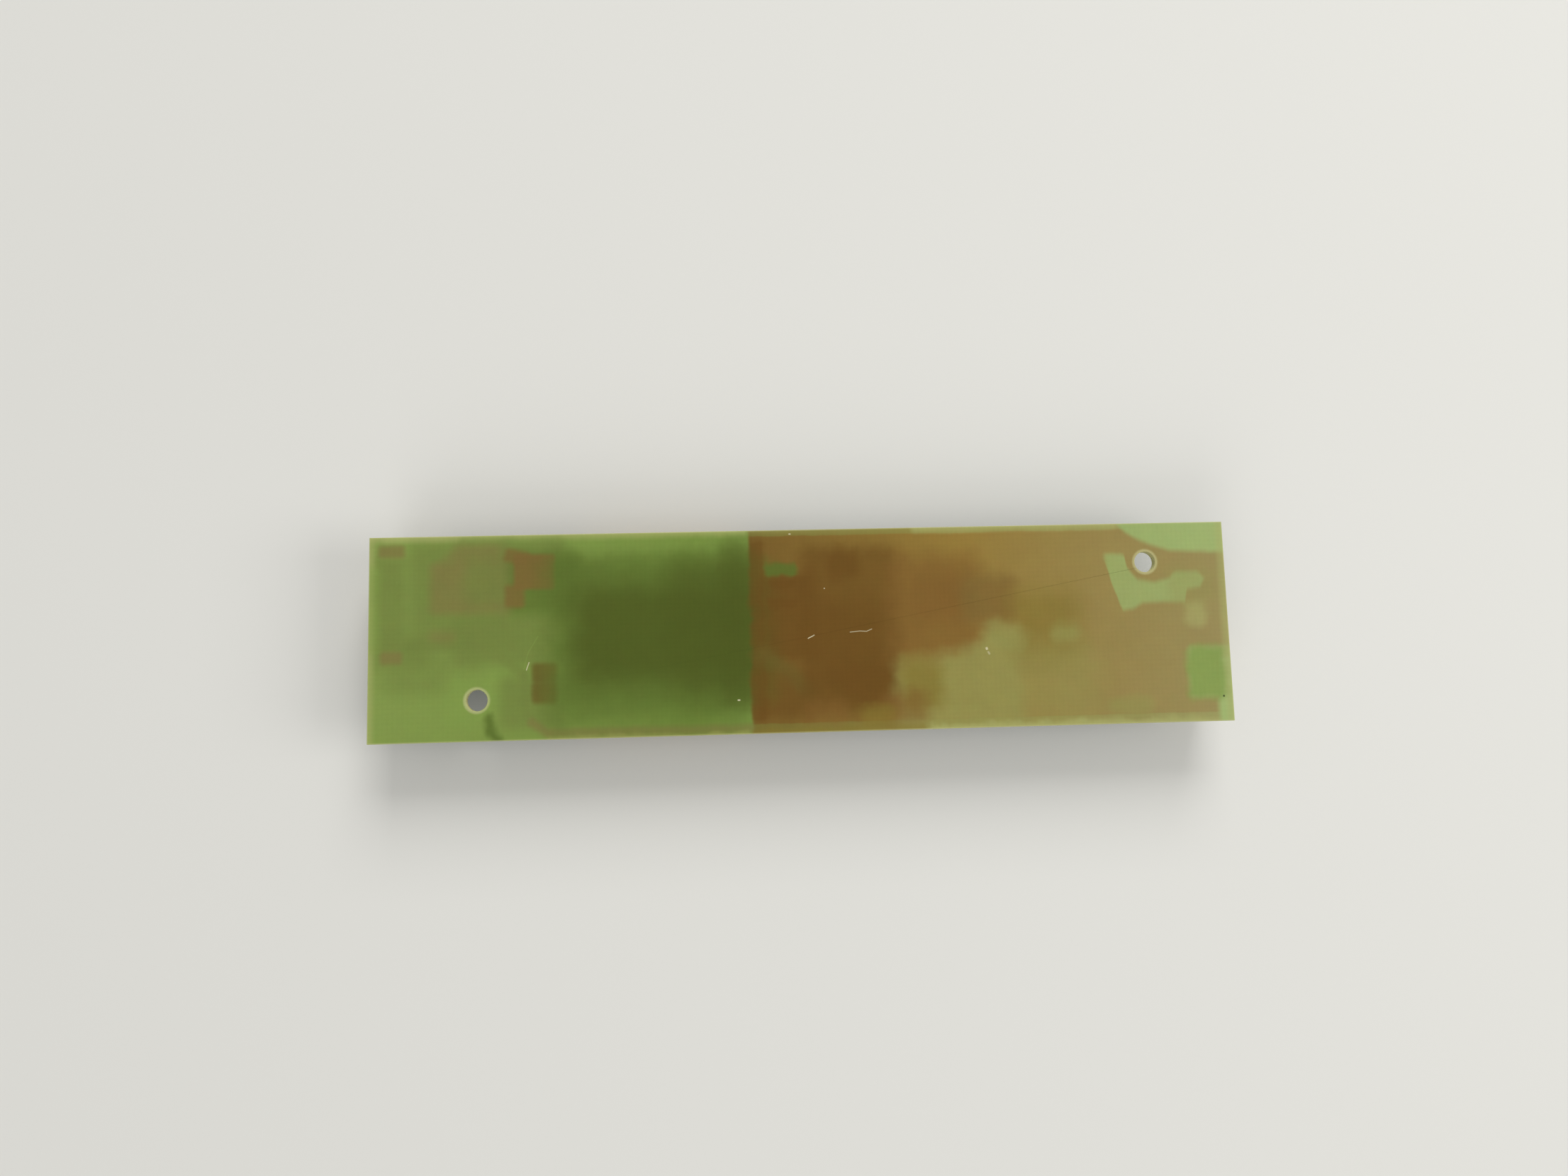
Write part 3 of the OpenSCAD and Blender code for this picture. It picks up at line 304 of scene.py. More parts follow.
# What shows through the laminate, in mm and degrees. A form is a box (x0, x1, y0, y1), or ("turned", x0, x1,
# y0, y1, turn), ("line", points, width), ("above" or "below", points of a bent border), or ("both", forms),
# where they overlap. After it come the blur of its border, its tone and how strongly it shows. Later forms
# lie on top. First the foil at the left end, with painted light and shade there.
SHOWS = (
    # painted light and shade: paler far rims where light gets under the edge, then at the left end livelier
    # green where more light reaches under and greyer green in the shade of the parts there
    ((-60, -6.5, 11.0, 20), 1.0, PALE_RESIN_AND_LIGHT, 0.55),
    ((-6.4, 12.5, 11.1, 20), 0.9, OLIVE_PALE, 0.45),
    ((12.5, 36.5, 11.0, 20), 0.9, PALE_RESIN_AND_LIGHT, 0.6),
    ((-46.0, -10.0, 9.3, 10.6), 1.6, LIVELY_RESIN_AND_LIGHT, 0.5),
    ((-48.6, -44.8, -1.5, 9.4), 2.2, DULL_RESIN_AND_SHADE, 0.75),
    ((-44.6, -33.0, -1.2, 11.0), 2.6, DULL_RESIN_AND_SHADE, 0.75),
    ((-47.2, -36.0, -6.2, -1.4), 2.8, DULL_RESIN_AND_SHADE, 0.5),
    ((-49, -42.0, -3.2, 0.2), 2.4, DULL_RESIN_AND_SHADE, 0.6),
    ((-39.5, -28.0, -3.2, 2.4), 2.2, DULL_RESIN_AND_SHADE, 0.8),
    ((-40.5, -34.2, -9.9, -3.8), 3.0, LIVELY_RESIN_AND_LIGHT, 0.7),
    ((-34.6, -27.6, -10.4, -4.4), 2.4, DULL_RESIN_AND_SHADE, 0.75),
    # tab pads of the output connector
    ((-48.0, -45.0, 9.2, 10.6), 0.9, FOIL_FAINT, 0.88),
    ((-47.7, -45.2, -2.8, -1.4), 0.9, FOIL_FAINT, 0.88),
    # the faint low-voltage lamp pad
    ((-42.3, -39.3, -0.6, 0.8), 1.6, FOIL_FAINT, 0.55),
    # the high-voltage copper, with its cut corner, greyed towards the right by painted shade of the capacitor
    # behind it
    ((-42.2, -33.0, 2.7, 8.4), 1.7, FOIL_FAINT, 0.8),
    ((-39.6, -33.6, 7.6, 10.6), 1.6, FOIL_FAINT, 0.75),
    (("turned", -41.6, -38.2, 6.4, 9.4, 40), 1.4, FOIL_FAINT, 0.5),
    ((-38.4, -33.0, 3.6, 8.8), 2.4, DULL_RESIN_AND_SHADE, 0.6),
    # the stronger block at the high-voltage pins, and the painted shade round it
    ((-34.4, -27.2, 8.8, 11.0), 1.6, DULL_RESIN_AND_SHADE, 0.7),
    ((-33.4, -25.6, 2.4, 9.6), 2.4, SHADE_GREEN, 0.8),
    (("turned", -34.0, -31.2, 8.2, 9.8, -14), 0.9, STRONG_FOIL_AND_SHADE, 0.8),
    ((-32.9, -28.3, 5.3, 9.3), 0.7, STRONG_FOIL_AND_SHADE, 0.92),
    ((-33.9, -31.7, 3.3, 5.9), 0.9, STRONG_FOIL_AND_SHADE, 0.8),
    # the two pads at the low end of the high-voltage winding
    ((-30.8, -28.1, -7.5, -3.0), 1.0, PAD_DARK, 0.8),
    ((-30.8, -28.2, -5.0, -3.1), 0.8, PAD_DARK, 0.6),
    ((-30.9, -28.2, -7.4, -5.3), 0.8, PAD_DARK, 0.6),
    # the return track, running down and along the near edge
    (("line", ((-44.5, -0.9), (-39.5, -0.9), (-36.2, -1.1), (-34.5, -2.0), (-31.9, -4.2)), 1.1),
     0.9, DULL_RESIN_AND_SHADE, 0.55),
    (("line", ((-31.7, -4.2), (-31.6, -8.0), (-30.9, -9.6)), 0.8), 0.8, DULL_RESIN_AND_SHADE, 0.6),
    (("line", ((-30.9, -9.6), (-29.2, -10.8), (-6.6, -10.9)), 1.0), 0.9, FOIL_FAINT, 0.75),
)
# Shadows of the parts that hang from the other face.
SHADES = (
    # the transformer: a broad soft shadow, deeper in the middle and towards its right end
    ((-29.6, -6.4, -10.4, 9.4), 4.0, SHADE_GREEN, 0.62),
    ((-27.9, -3.2, -8.0, 8.2), 3.0, SHADE_GREEN, 0.6),
    ((-26.4, -5.0, -5.4, 5.6), 5.0, SHADE_DEEP, 0.85),
    ((-15.5, -5.4, -7.6, 8.6), 5.0, SHADE_DEEP, 0.6),
    ((-9.6, -5.8, -8.4, 10.2), 2.0, SHADE_DEEP, 0.5),
    # what hangs behind the copper plane at its left end
    ((-5.2, 1.0, -3.8, 7.0), 3.0, SHADE_BROWN, 0.8),
    ((-6.3, -4.6, -10.2, 10.4), 0.9, SHADE_BROWN, 0.6),
    ((-5.6, 0.8, -10.0, -4.2), 2.2, SHADE_BROWN, 0.65),
    (("line", ((-5.2, -2.6), (-2.4, -4.4), (0.4, -7.0)), 1.7), 1.8, PAD_DARK, 0.5),
    # the choke's round shadow, the capacitor above it and the blotch between
    ((-0.4, 10.8, -9.0, 9.6), 3.0, SHADE_BROWN, 0.68),
    ((0.6, 9.6, -8.0, 3.4), 4.6, SHADE_BROWN, 0.55),
    ((3.4, 10.8, -9.9, -3.6), 4.2, SHADE_BROWN, 0.6),
    ((2.7, 6.2, 5.8, 9.4), 2.0, SHADE_BROWN, 0.6),
    ((-0.5, 4.5, -10.6, -8.0), 1.8, SHADE_RED, 0.5),
    # the chips: reddish, with a lighter field past a slanting border
    ((9.4, 20.4, -3.8, 8.3), 3.6, SHADE_RED, 0.66),
    ((12.5, 18.5, 0.5, 6.0), 3.4, SHADE_RED, 0.5),
    # painted shade of the switch chip, in the strong foil tone
    ((18.0, 24.2, 0.4, 6.0), 3.0, STRONG_FOIL_AND_SHADE, 0.6),
    ((20.6, 24.4, -0.4, 5.6), 3.2, SHADE_RED, 0.35),
    (("both", ("below", ((-49, -4.1), (10, -4.1), (14.5, -3.6), (19, -2.4), (21, -0.5), (49, -0.5))),
      (10.2, 24.8, -11.6, 1.2)), 3.0, OLIVE_PALE, 0.8),
    ((10.8, 15.4, -9.2, -3.8), 2.6, OLIVE_BROWN, 0.75),
    ((8.8, 13.6, -10.8, -7.2), 2.2, SHADE_RED, 0.6),
    ((6.0, 9.6, -11.0, -8.6), 1.6, OLIVE_BROWN, 0.6),
    # the pale lands past them and the can between
    ((23.6, 31.6, -4.6, 4.0), 4.6, OLIVE_BROWN, 0.62),
    (("turned", 20.4, 25.0, -2.6, 0.3, -12), 2.2, OLIVE_PALE, 0.65),
    ((28.3, 31.5, -1.8, 0.0), 1.9, OLIVE_PALE, 0.65),
    # faint patches at the right end
    ((43.8, 46.4, -0.4, 2.4), 1.6, PALE_RESIN_AND_LIGHT, 0.45),
    ((42.2, 47.4, 1.9, 6.4), 2.0, OLIVE_PALE, 0.35),
    ((34.5, 39.6, -10.6, -8.6), 1.8, OLIVE_PALE, 0.6),
    ((43.9, 48.4, -8.9, -2.9), 1.3, LIVELY_RESIN_AND_LIGHT, 0.75),
    ((24.0, 33.5, -11.5, -2.2), 5.0, OLIVE_PALE, 0.45),
    # a dark streak by the left hole, a bare window and two pads in the foil plane in painted shade, and the
    # near
    # rim: resin past the foil, with painted light where light gets under the edge
    (("line", ((-35.7, -9.3), (-34.7, -11.4)), 1.2), 1.1, SHADE_GREEN, 0.85),
    ((-4.5, -1.0, 6.4, 7.8), 0.8, SHADE_GREEN, 0.85),
    ((-4.2, -1.2, 4.9, 5.9), 0.8, SHADE_BROWN, 0.5),
    ((-4.2, -1.0, 2.4, 3.6), 0.8, SHADE_BROWN, 0.55),
    ((-6.4, 13.5, -20, -11.1), 0.9, OLIVE_BROWN, 0.5),
    ((13.5, 47, -20, -11.0), 0.9, PALE_RESIN_AND_LIGHT, 0.6),
    ((-29, -6.5, -20, -11.25), 0.7, OLIVE_PALE, 0.5),
)
# Where the ground foil is etched away, and how far it reaches: form, blur, and how much is gone or left.
BARE = (
    (("above", ((-49, 13), (36.2, 13), (36.4, 11.4), (37.5, 10.5), (39, 9.6), (40.5, 9.0), (42.5, 8.3),
                (49, 7.95))), 0.9, 0.92),
    (("both",
      ("below", ((-49, 8.1), (34.9, 8.1), (37.1, 7.95), (37.35, 6.5), (38.5, 5.05), (40.5, 4.65),
                 (42.4, 5.05), (43, 5.8), (45.75, 5.85), (46.5, 5.0), (49, 5.0))),
      ("above", ((-49, 7.2), (34.9, 7.2), (35.5, 4.8), (36.2, 2.8), (36.6, 1.45), (38, 1.6), (39, 2.25),
                 (44.1, 2.3), (44.3, 3.75), (46.1, 4.0), (46.6, 5.2), (49, 5.2))),
      (34.9, 46.5, 0.8, 8.3)), 0.9, 0.74),
    ((44.0, 52, -8.8, -2.95), 1.0, 0.7),
    ((47.3, 52, -14, -4), 1.0, 0.95),
)
COPPER = (
    ((-6.35, 60, -10.6, 11.0), 0.5, 1.0),
    ((-6.35, 60, -14, 14), 0.5, 0.75),
)
# Painted light at the ends: paler rims; then marks on the face itself: scratches and specks.
MARKS = (
    ((48.2, 60, -20, 20), 1.0, PALE_RESIN_AND_LIGHT, 0.5),
    ((-60, -48.4, -20, 20), 0.8, PALE_RESIN_AND_LIGHT, 0.4),
    ((-60, -47.7, -1.5, 8.2), 1.4, LIVELY_RESIN_AND_LIGHT, 0.45),
    ((-47.5, -39, 10.9, 20), 0.9, PALE_RESIN_AND_LIGHT, 0.3),
    (("line", ((0.2, -0.95), (0.9, -0.6)), 0.02), 0.07, SCUFF, 0.9),
    (("line", ((5.0, -0.35), (6.1, -0.25), (6.9, -0.3), (7.5, -0.05)), 0.02), 0.06, SCUFF, 0.6),
    (("line", ((-31.5, -3.75), (-31.2, -2.9)), 0.02), 0.07, SCUFF, 0.7),
    (("line", ((-31.8, -3.7), (-31.3, -1.8), (-30.2, 0.0)), 0.02), 0.08, LIVELY_RESIN_AND_LIGHT, 0.35),
    (("turned", 20.5, 20.75, -2.75, -2.45, 20), 0.12, SCUFF, 0.7),
    (("turned", 20.75, 20.95, -3.3, -2.9, 30), 0.15, SCUFF, 0.4),
    ((-7.95, -7.65, -7.8, -7.65), 0.12, SCUFF, 0.8),
    ((-1.72, -1.48, 11.0, 11.12), 0.1, SCUFF, 0.8),
    ((2.15, 2.27, 4.65, 4.78), 0.08, SCUFF, 0.7),
    ((47.8, 48.0, -8.8, -8.6), 0.1, "#1C2412", 0.9),
)


def over_foil(tree, place, spread=1.0):
    """Where the ground foil covers the board: it has cut-outs, and its borders blur by their own width."""
    bare, covered = [together(tree, "MAXIMUM", *[
        together(tree, "MULTIPLY", soft_form(tree, place, form, blur * spread), strength)
        for form, blur, strength in forms]) for forms in (BARE, COPPER)]
    kept = add(tree, "ShaderNodeMath", {0: 1.0, 1: bare}, operation="SUBTRACT").outputs[0]
    return together(tree, "MULTIPLY", covered, kept)


def laminate_material(look):
    """Glass-epoxy laminate, pressed from woven glass: a satin, faintly woven green that shows, blurred, the
    foil on its other face, with painted light and shade for the parts that hang there."""
    material, tree, shader, place = start_material(
        "glass_epoxy_laminate", Roughness=0.42, IOR=1.5, Specular_IOR_Level=0.08)
    flat = add(tree, "ShaderNodeVectorMath", {0: place, 1: (1, 1, 0)}, operation="MULTIPLY").outputs[0]
    wander = add(tree, "ShaderNodeTexNoise", {"Vector": flat, "Scale": 0.45, "Detail": 2.0}).outputs["Color"]
    wander = add(tree, "ShaderNodeVectorMath", {0: wander, 1: (0.5,) * 3}, operation="SUBTRACT").outputs[0]

    def wandered(reach):
        """The place on the board, moved a little so that no border runs quite straight."""
        return add(tree, "ShaderNodeVectorMath", {0: wander, 1: (reach, reach, 0), 2: flat},
                   operation="MULTIPLY_ADD").outputs[0]

    crisp, loose = wandered(0.3), wandered(1.6)
    colour = add(tree, "ShaderNodeMix", {0: over_foil(tree, crisp), 6: along_board(tree, flat, GREENS),
                                         7: along_board(tree, flat, BROWNS)}, data_type="RGBA").outputs[2]
    for where, forms in ((crisp, SHOWS), (loose, SHADES), (flat, MARKS)):
        for form, blur, code, strength in forms:
            amount = together(tree, "MULTIPLY", soft_form(tree, where, form, blur), strength)
            colour = add(tree, "ShaderNodeMix", {0: amount, 6: colour, 7: linear(code)},
                         data_type="RGBA").outputs[2]

    # Painted shade: the colour darkens a little towards the right end, to make up for the side lamp's
    # stronger light there.
    split = add(tree, "ShaderNodeSeparateXYZ", {0: place})
    deeper = add(tree, "ShaderNodeMapRange", {0: split.outputs[0], 1: -20.0, 2: BOARD_HIGH.x, 3: 1.0,
                                              4: 0.92}).outputs[0]
    colour = add(tree, "ShaderNodeVectorMath", {0: colour, 1: deeper}, operation="MULTIPLY").outputs[0]

    # Pale where the board was cut, partly the sawn resin's own colour and partly painted light entering the
    # edge: a thin line round its border and round each screw hole.
    inside = soft_patch(tree, flat, BOARD_LOW.x + 0.1, BOARD_HIGH.x - 0.1, BOARD_LOW.y + 0.1,
                        BOARD_HIGH.y - 0.1, 0.2)
    cut = add(tree, "ShaderNodeMath", {0: 1.0, 1: inside}, operation="SUBTRACT").outputs[0]
    for x, y in SCREW_HOLES:
        away = add(tree, "ShaderNodeVectorMath", {0: flat, 1: (x, y, 0)},
                   operation="DISTANCE").outputs["Value"]
        ring = add(tree, "ShaderNodeMapRange", {0: away, 1: HOLE_RADIUS + 0.12, 2: HOLE_RADIUS + 0.42, 3: 1.0,
                                                4: 0.0}, interpolation_type="SMOOTHSTEP").outputs[0]
        cut = together(tree, "MAXIMUM", cut, ring)
    cut = together(tree, "MULTIPLY", cut, look.cut_edge)
    colour = add(tree, "ShaderNodeMix", {0: cut, 6: colour, 7: linear("#C6C58F")},
                 data_type="RGBA").outputs[2]

    # The sawn walls: layers of glass cloth in paler resin.
    layers = add(tree, "ShaderNodeTexWave", {"Vector": place, "Scale": ONE_BAND / look.ply * MM,
                                             "Distortion": 1.2, "Detail": 2.0, "Detail Scale": 1.5},
                 wave_type="BANDS", bands_direction="Z").outputs["Fac"]
    wall = add(tree, "ShaderNodeMix", {0: layers, 6: linear("#A9A663"), 7: linear("#CFCC9C")},
               data_type="RGBA").outputs[2]
    low = add(tree, "ShaderNodeMapRange", {0: split.outputs[2], 1: BOARD_HIGH.z - 0.08,
                                           2: BOARD_HIGH.z - 0.03, 3: 1.0, 4: 0.0}).outputs[0]
    colour = add(tree, "ShaderNodeMix", {0: low, 6: colour, 7: wall}, data_type="RGBA").outputs[2]

    # The woven glass: two sets of threads, faint in colour and in relief.
    pitch = look.weave_pitch / MM
    threads = [add(tree, "ShaderNodeTexWave", {"Vector": place, "Scale": ONE_BAND / pitch, "Distortion": 0.6,
                                               "Detail": 1.0, "Detail Scale": 0.4},
                   wave_type="BANDS", bands_direction=axis).outputs["Fac"] for axis in ("X", "Y")]
    weave = together(tree, "ADD", *threads)
    cloud = add(tree, "ShaderNodeTexNoise", {"Vector": place, "Scale": 0.3, "Detail": 6.0,
                                             "Roughness": 0.72}).outputs[0]
    tint = add(tree, "ShaderNodeTexNoise", {"Vector": place, "Scale": 0.7, "Detail": 4.0,
                                            "Roughness": 0.7}).outputs["Color"]
    tone = add(tree, "ShaderNodeMapRange", {0: weave, 1: 0.0, 2: 2.0, 3: -look.weave_tone / 2,
                                            4: look.weave_tone / 2}).outputs[0]
    drifted = add(tree, "ShaderNodeMapRange", {0: cloud, 1: 0.25, 2: 0.75, 3: 1 - look.cloudiness,
                                               4: 1.0}).outputs[0]
    tone = together(tree, "ADD", tone, drifted)
    tone = add(tree, "ShaderNodeVectorMath", {0: tint, 1: (look.cloudiness,) * 3, 2: tone},
               operation="MULTIPLY_ADD").outputs[0]
    colour = add(tree, "ShaderNodeVectorMath", {0: colour, 1: tone}, operation="MULTIPLY").outputs[0]
    relief = add(tree, "ShaderNodeBump", {"Strength": look.weave_depth, "Distance": GRAIN * MM,
                                          "Height": weave})
    tree.links.new(relief.outputs[0], shader.inputs["Normal"])
    tree.links.new(colour, shader.inputs["Base Color"])
    return material


def lacquer_material():
    """Green solder lacquer, screened on and cured: glossy, deep green on bare laminate and a livelier green,
    a little raised, where foil lies under it."""
    material, tree, shader, place = start_material("green_screened_lacquer")
    bare = mottle(tree, shader, place, "#0F4322", "#134E28", 2.0, rough=(0.1, 0.2))
    plane = over_foil(tree, place, 0.12)
    patches = [soft_patch(tree, place, low.x + 0.15, high.x - 0.15, low.y + 0.15, high.y - 0.15, 0.1)
               for low, high in islands("high_voltage_foil")]
    foil = together(tree, "MAXIMUM", plane, *patches)
    grain = add(tree, "ShaderNodeTexNoise", {"Vector": place, "Scale": 1.2, "Detail": 4.0}).outputs[0]
    over = add(tree, "ShaderNodeMix", {0: grain, 6: linear("#2A8545"), 7: linear("#349350")},
               data_type="RGBA").outputs[2]
    colour = add(tree, "ShaderNodeMix", {0: foil, 6: bare, 7: over}, data_type="RGBA").outputs[2]
    tree.links.new(colour, shader.inputs["Base Color"])
    relief = add(tree, "ShaderNodeBump", {"Strength": 0.35, "Distance": 0.03 * MM, "Height": foil})
    tree.links.new(relief.outputs[0], shader.inputs["Normal"])
    return material


def can_material():
    """Drawn aluminium, satin, with the dark segment on its end that marks the can's negative side."""
    material, tree, shader, place = start_material("drawn_aluminium", Metallic=1.0)
    bright = mottle(tree, shader, place, "#C9CACB", "#E0E1E2", 1.2, rough=(0.25, 0.36), bump=0.06)
    low, high = box_mm("can_shell")
    split = add(tree, "ShaderNodeSeparateXYZ", {0: place})
    border = low.x + (high.x - low.x) * 0.67
    side = add(tree, "ShaderNodeMath", {0: split.outputs[0], 1: border}, operation="GREATER_THAN").outputs[0]
    end = add(tree, "ShaderNodeMath", {0: split.outputs[2], 1: low.z + 0.06},
              operation="LESS_THAN").outputs[0]
    colour = add(tree, "ShaderNodeMix", {0: together(tree, "MULTIPLY", side, end), 6: bright,
                                         7: linear("#25262B")}, data_type="RGBA").outputs[2]
    tree.links.new(colour, shader.inputs["Base Color"])
    return material


def metal_material(name, dark, light, rough, size=0.6, bump=0.12):
    """Plated or soldered metal: a bright skin with soft dull patches that break up its reflection."""
    material, tree, shader, place = start_material(name, Metallic=1.0)
    mottle(tree, shader, place, dark, light, size, rough=rough, bump=bump)
    return material


def moulded_material(name, dark, light, rough, size=0.5, bump=0.15, **sockets):
    """Moulded, fired or pressed stock: an even colour with a fine drift in tone and a faint grain. Real grain
    is often finer than 0.15 mm, but it wouldn't show, so it is drawn no finer than that."""
    material, tree, shader, place = start_material(name, IOR=1.5, **sockets)
    mottle(tree, shader, place, dark, light, size, detail=5.0, rough=rough, bump=bump)
    return material


def make_materials(look):
    """Every finish on the board, by the name of the record's slot."""
    return {
        "laminate": laminate_material(look),
        # warm and satin, dulled in soft patches
        "foil": metal_material("rolled_copper_foil", "#B5713F", "#CC8A58", (0.25, 0.4)),
        "mask": lacquer_material(),
        # bright, set in uneven ripples
        "solder": metal_material("reflowed_tin_solder", "#B4B6B5", "#DCDDDB", (0.18, 0.38), 0.4, 0.25),
        # creamy, faintly uneven, with a soft sheen
        "ivory": moulded_material("moulded_nylon", "#E3DCC4", "#EDE7D2", (0.4, 0.52), 2.0),
        # cool silver with duller patches
        "contact": metal_material("tin_plated_bronze", "#C4C3BE", "#DAD9D4", (0.22, 0.36), 0.8),
        # near black with a fine grain
        "bobbin": moulded_material("moulded_phenolic", "#17171A", "#232327", (0.42, 0.58), 0.4),
        # dark grey, finely pitted by grinding
        "ferrite": moulded_material("ground_ferrite", "#35363A", "#46474B", (0.45, 0.62), 0.15, 0.3),
        # glossy amber film
        "tape": moulded_material("polyester_tape", "#D9A21E", "#E6B436", (0.15, 0.25), 1.5, 0.1),
        # dry tan fibre
        "spacer": moulded_material("insulating_paper", "#D8C79C", "#E4D5AE", (0.7, 0.85), 0.3),
        # red-brown lacquered metal with a gloss
        "wire": moulded_material("enamelled_copper_wire", "#8E4519", "#B5622A", (0.18, 0.3), 1.0, 0.05,
                                 Metallic=0.75),
        # brown, with a fine fired grain
        "ceramic_cap": moulded_material("fired_barium_titanate", "#8F6F4D", "#A4835F", (0.35, 0.5), 0.3),
        # pale grey resin, barely glossy
        "film_cap": moulded_material("resin_dipped_film_stack", "#C2C2B2", "#D2D2C4", (0.4, 0.55), 0.6),
        # clean white glaze
        "fuse": moulded_material("white_fuse_ceramic", "#E4E4DE", "#EFEFEA", (0.3, 0.45), 0.4),
        # white with a matt, sintered grain
        "alumina": moulded_material("sintered_alumina", "#E8E8E4", "#F2F2EF", (0.45, 0.6), 0.2),
        # black glass, the glossiest skin here
        "overcoat": moulded_material("black_resistor_glaze", "#0D0D10", "#1B1B1F", (0.15, 0.3), 0.3, 0.08),
        # matt black, gritty with filler
        "epoxy": moulded_material("moulded_black_epoxy", "#1B1B1E", "#29292D", (0.5, 0.68), 0.15, 0.35),
        "can": can_material(),
        # dull black with no gleam
        "rubber": moulded_material("moulded_rubber", "#161616", "#202020", (0.6, 0.8), 0.3),
        # pale paper edges
        "roll": moulded_material("wound_foil_and_paper", "#B9AE8C", "#CBC1A0", (0.6, 0.75), 0.3),
    }


MATERIALS = {}


# ---------------------------------------- pieces

def dress(slot, *names, edge=0.0):
    """Gives CAD nodes a finish; an edge width in mm breaks corners above 30 degrees, to catch the light."""
    for name in names:
        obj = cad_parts[name]
        obj.data.materials.clear()
        obj.data.materials.append(MATERIALS[slot])
        if edge:
            weld = obj.modifiers.new("merge", "WELD")
            weld.merge_threshold = 0.001 * MM
            broken = obj.modifiers.new("broken_edges", "BEVEL")
            broken.width = edge * MM
            broken.segments = 2
            broken.limit_method = "ANGLE"
            broken.angle_limit = math.radians(30)
            broken.use_clamp_overlap = True


def put(name, data):
    """An object with this mesh, lamp or camera in it, in the scene."""
    obj = bpy.data.objects.new(name, data)
    bpy.context.scene.collection.objects.link(obj)
    return obj


def put_shape(name, shape, material):
    """Turns a finished shape into an object of one material."""
    mesh = bpy.data.meshes.new(name)
    shape.to_mesh(mesh)
    shape.free()
    mesh.materials.append(material)
    return put(name, mesh)


def new_piece(name, shape, slot, *nodes):
    """Turns a finished shape into a piece that rides on the board."""
    bmesh.ops.recalc_face_normals(shape, faces=shape.faces)
    obj = put_shape(name, shape, MATERIALS[slot])
    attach(obj, BODY)
    if nodes:
        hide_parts(*nodes)
    return obj


def islands(name, depth=None):
    """The separate solids of a CAD node as (low, high) in mm; a depth keeps only what is that near the
    lacquer."""
    shape = bmesh.new()
    shape.from_mesh(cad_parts[name].data)
    bmesh.ops.remove_doubles(shape, verts=shape.verts, dist=0.001 * MM)
    shape.verts.ensure_lookup_table()
    seen, found = set(), []
    for start in shape.verts:
        if start.index in seen:
            continue
        seen.add(start.index)
        group, todo = [], [start]
        while todo:
            vert = todo.pop()
            group.append(vert.co / MM)
            for edge in vert.link_edges:
                other = edge.other_vert(vert)
                if other.index not in seen:
                    seen.add(other.index)
                    todo.append(other)
        if depth is not None:
            group = [co for co in group if co.z > MASK_LOW - depth]
        if group:
            found.append((Vector([min(co[i] for co in group) for i in range(3)]),
                          Vector([max(co[i] for co in group) for i in range(3)])))
    shape.free()
    return found


def middle_and_size(verts):
    """The mean place of some vertices, and how far they reach along each axis."""
    return (sum((v.co for v in verts), Vector()) / len(verts),
            [max(v.co[i] for v in verts) - min(v.co[i] for v in verts) for i in range(3)])


def wound_ring(shape, loop, axis, steps, inner):
    """Draws a closed loop of edges along an axis through (shift, grow) steps in mm and joins last to first.
    The loop has the winding's outer size; inner is how far inside it the wire starts."""
    verts = list({v for e in loop for v in e.verts})
    middle, size = middle_and_size(verts)
    edges = loop
    for shift, grow in [(0.0, -inner)] + steps:
        if shift or grow != -inner:
            made = bmesh.ops.extrude_edge_only(shape, edges=edges)["geom"]
            verts = [g for g in made if isinstance(g, bmesh.types.BMVert)]
            edges = [g for g in made
                     if isinstance(g, bmesh.types.BMEdge) and all(v in verts for v in g.verts)]
        now, wide = middle_and_size(verts)
        factor = [(size[i] + 2 * grow * MM) / wide[i] if i != axis else 1 for i in range(3)]
        bmesh.ops.scale(shape, verts=verts, vec=factor, space=Matrix.Translation(-now))
        target = middle.copy()
        target[axis] += shift * MM
        bmesh.ops.translate(shape, verts=verts, vec=target - now)
    bmesh.ops.bridge_loops(shape, edges=loop + edges)


def turn_steps(length, wire, inner):
    """Steps of a winding's skin in mm: up from the core, over each turn in an arc, and down again."""
    turns = max(1, round(length / wire))
    pitch = length / turns
    steps = [(0.0, -pitch * 0.35)]
    for turn in range(turns):
        for part in range(1, 5):
            angle = math.pi * part / 5
            steps.append((pitch * (turn + 0.5 - 0.5 * math.cos(angle)), pitch * 0.5 * (math.sin(angle) - 1)))
        steps.append((pitch * (turn + 1), -pitch * 0.35))
    return steps + [(length, -inner)]


def rounded_loop(shape, low, high, radius):
    """A closed rounded rectangle of edges across X, at the low end of a box in mm."""
    made = bmesh.ops.create_grid(shape, x_segments=1, y_segments=1, size=0.5)["verts"]
    bmesh.ops.rotate(shape, verts=made, cent=(0, 0, 0), matrix=Matrix.Rotation(math.radians(90), 3, "Y"))
    bmesh.ops.scale(shape, verts=made, vec=(1, (high.y - low.y) * MM, (high.z - low.z) * MM))
    middle = Vector((low.x, (low.y + high.y) / 2, (low.z + high.z) / 2))
    bmesh.ops.translate(shape, verts=made, vec=middle * MM)
    rounded = bmesh.ops.bevel(shape, geom=made, offset=radius * MM, offset_type="OFFSET", segments=5,
                              profile=0.5, affect="VERTICES", material=-1)
    face = rounded["verts"][0].link_faces[0]
    edges = list(face.edges)
    bmesh.ops.delete(shape, geom=[face], context="FACES_ONLY")
    return edges


def ingot(shape, low, high):
    """A block between two corners in mm; returns its vertices."""
    made = bmesh.ops.create_cube(shape, size=1)["verts"]
    bmesh.ops.scale(shape, verts=made, vec=(high - low) * MM)
    bmesh.ops.translate(shape, verts=made, vec=(high + low) / 2 * MM)
    return made


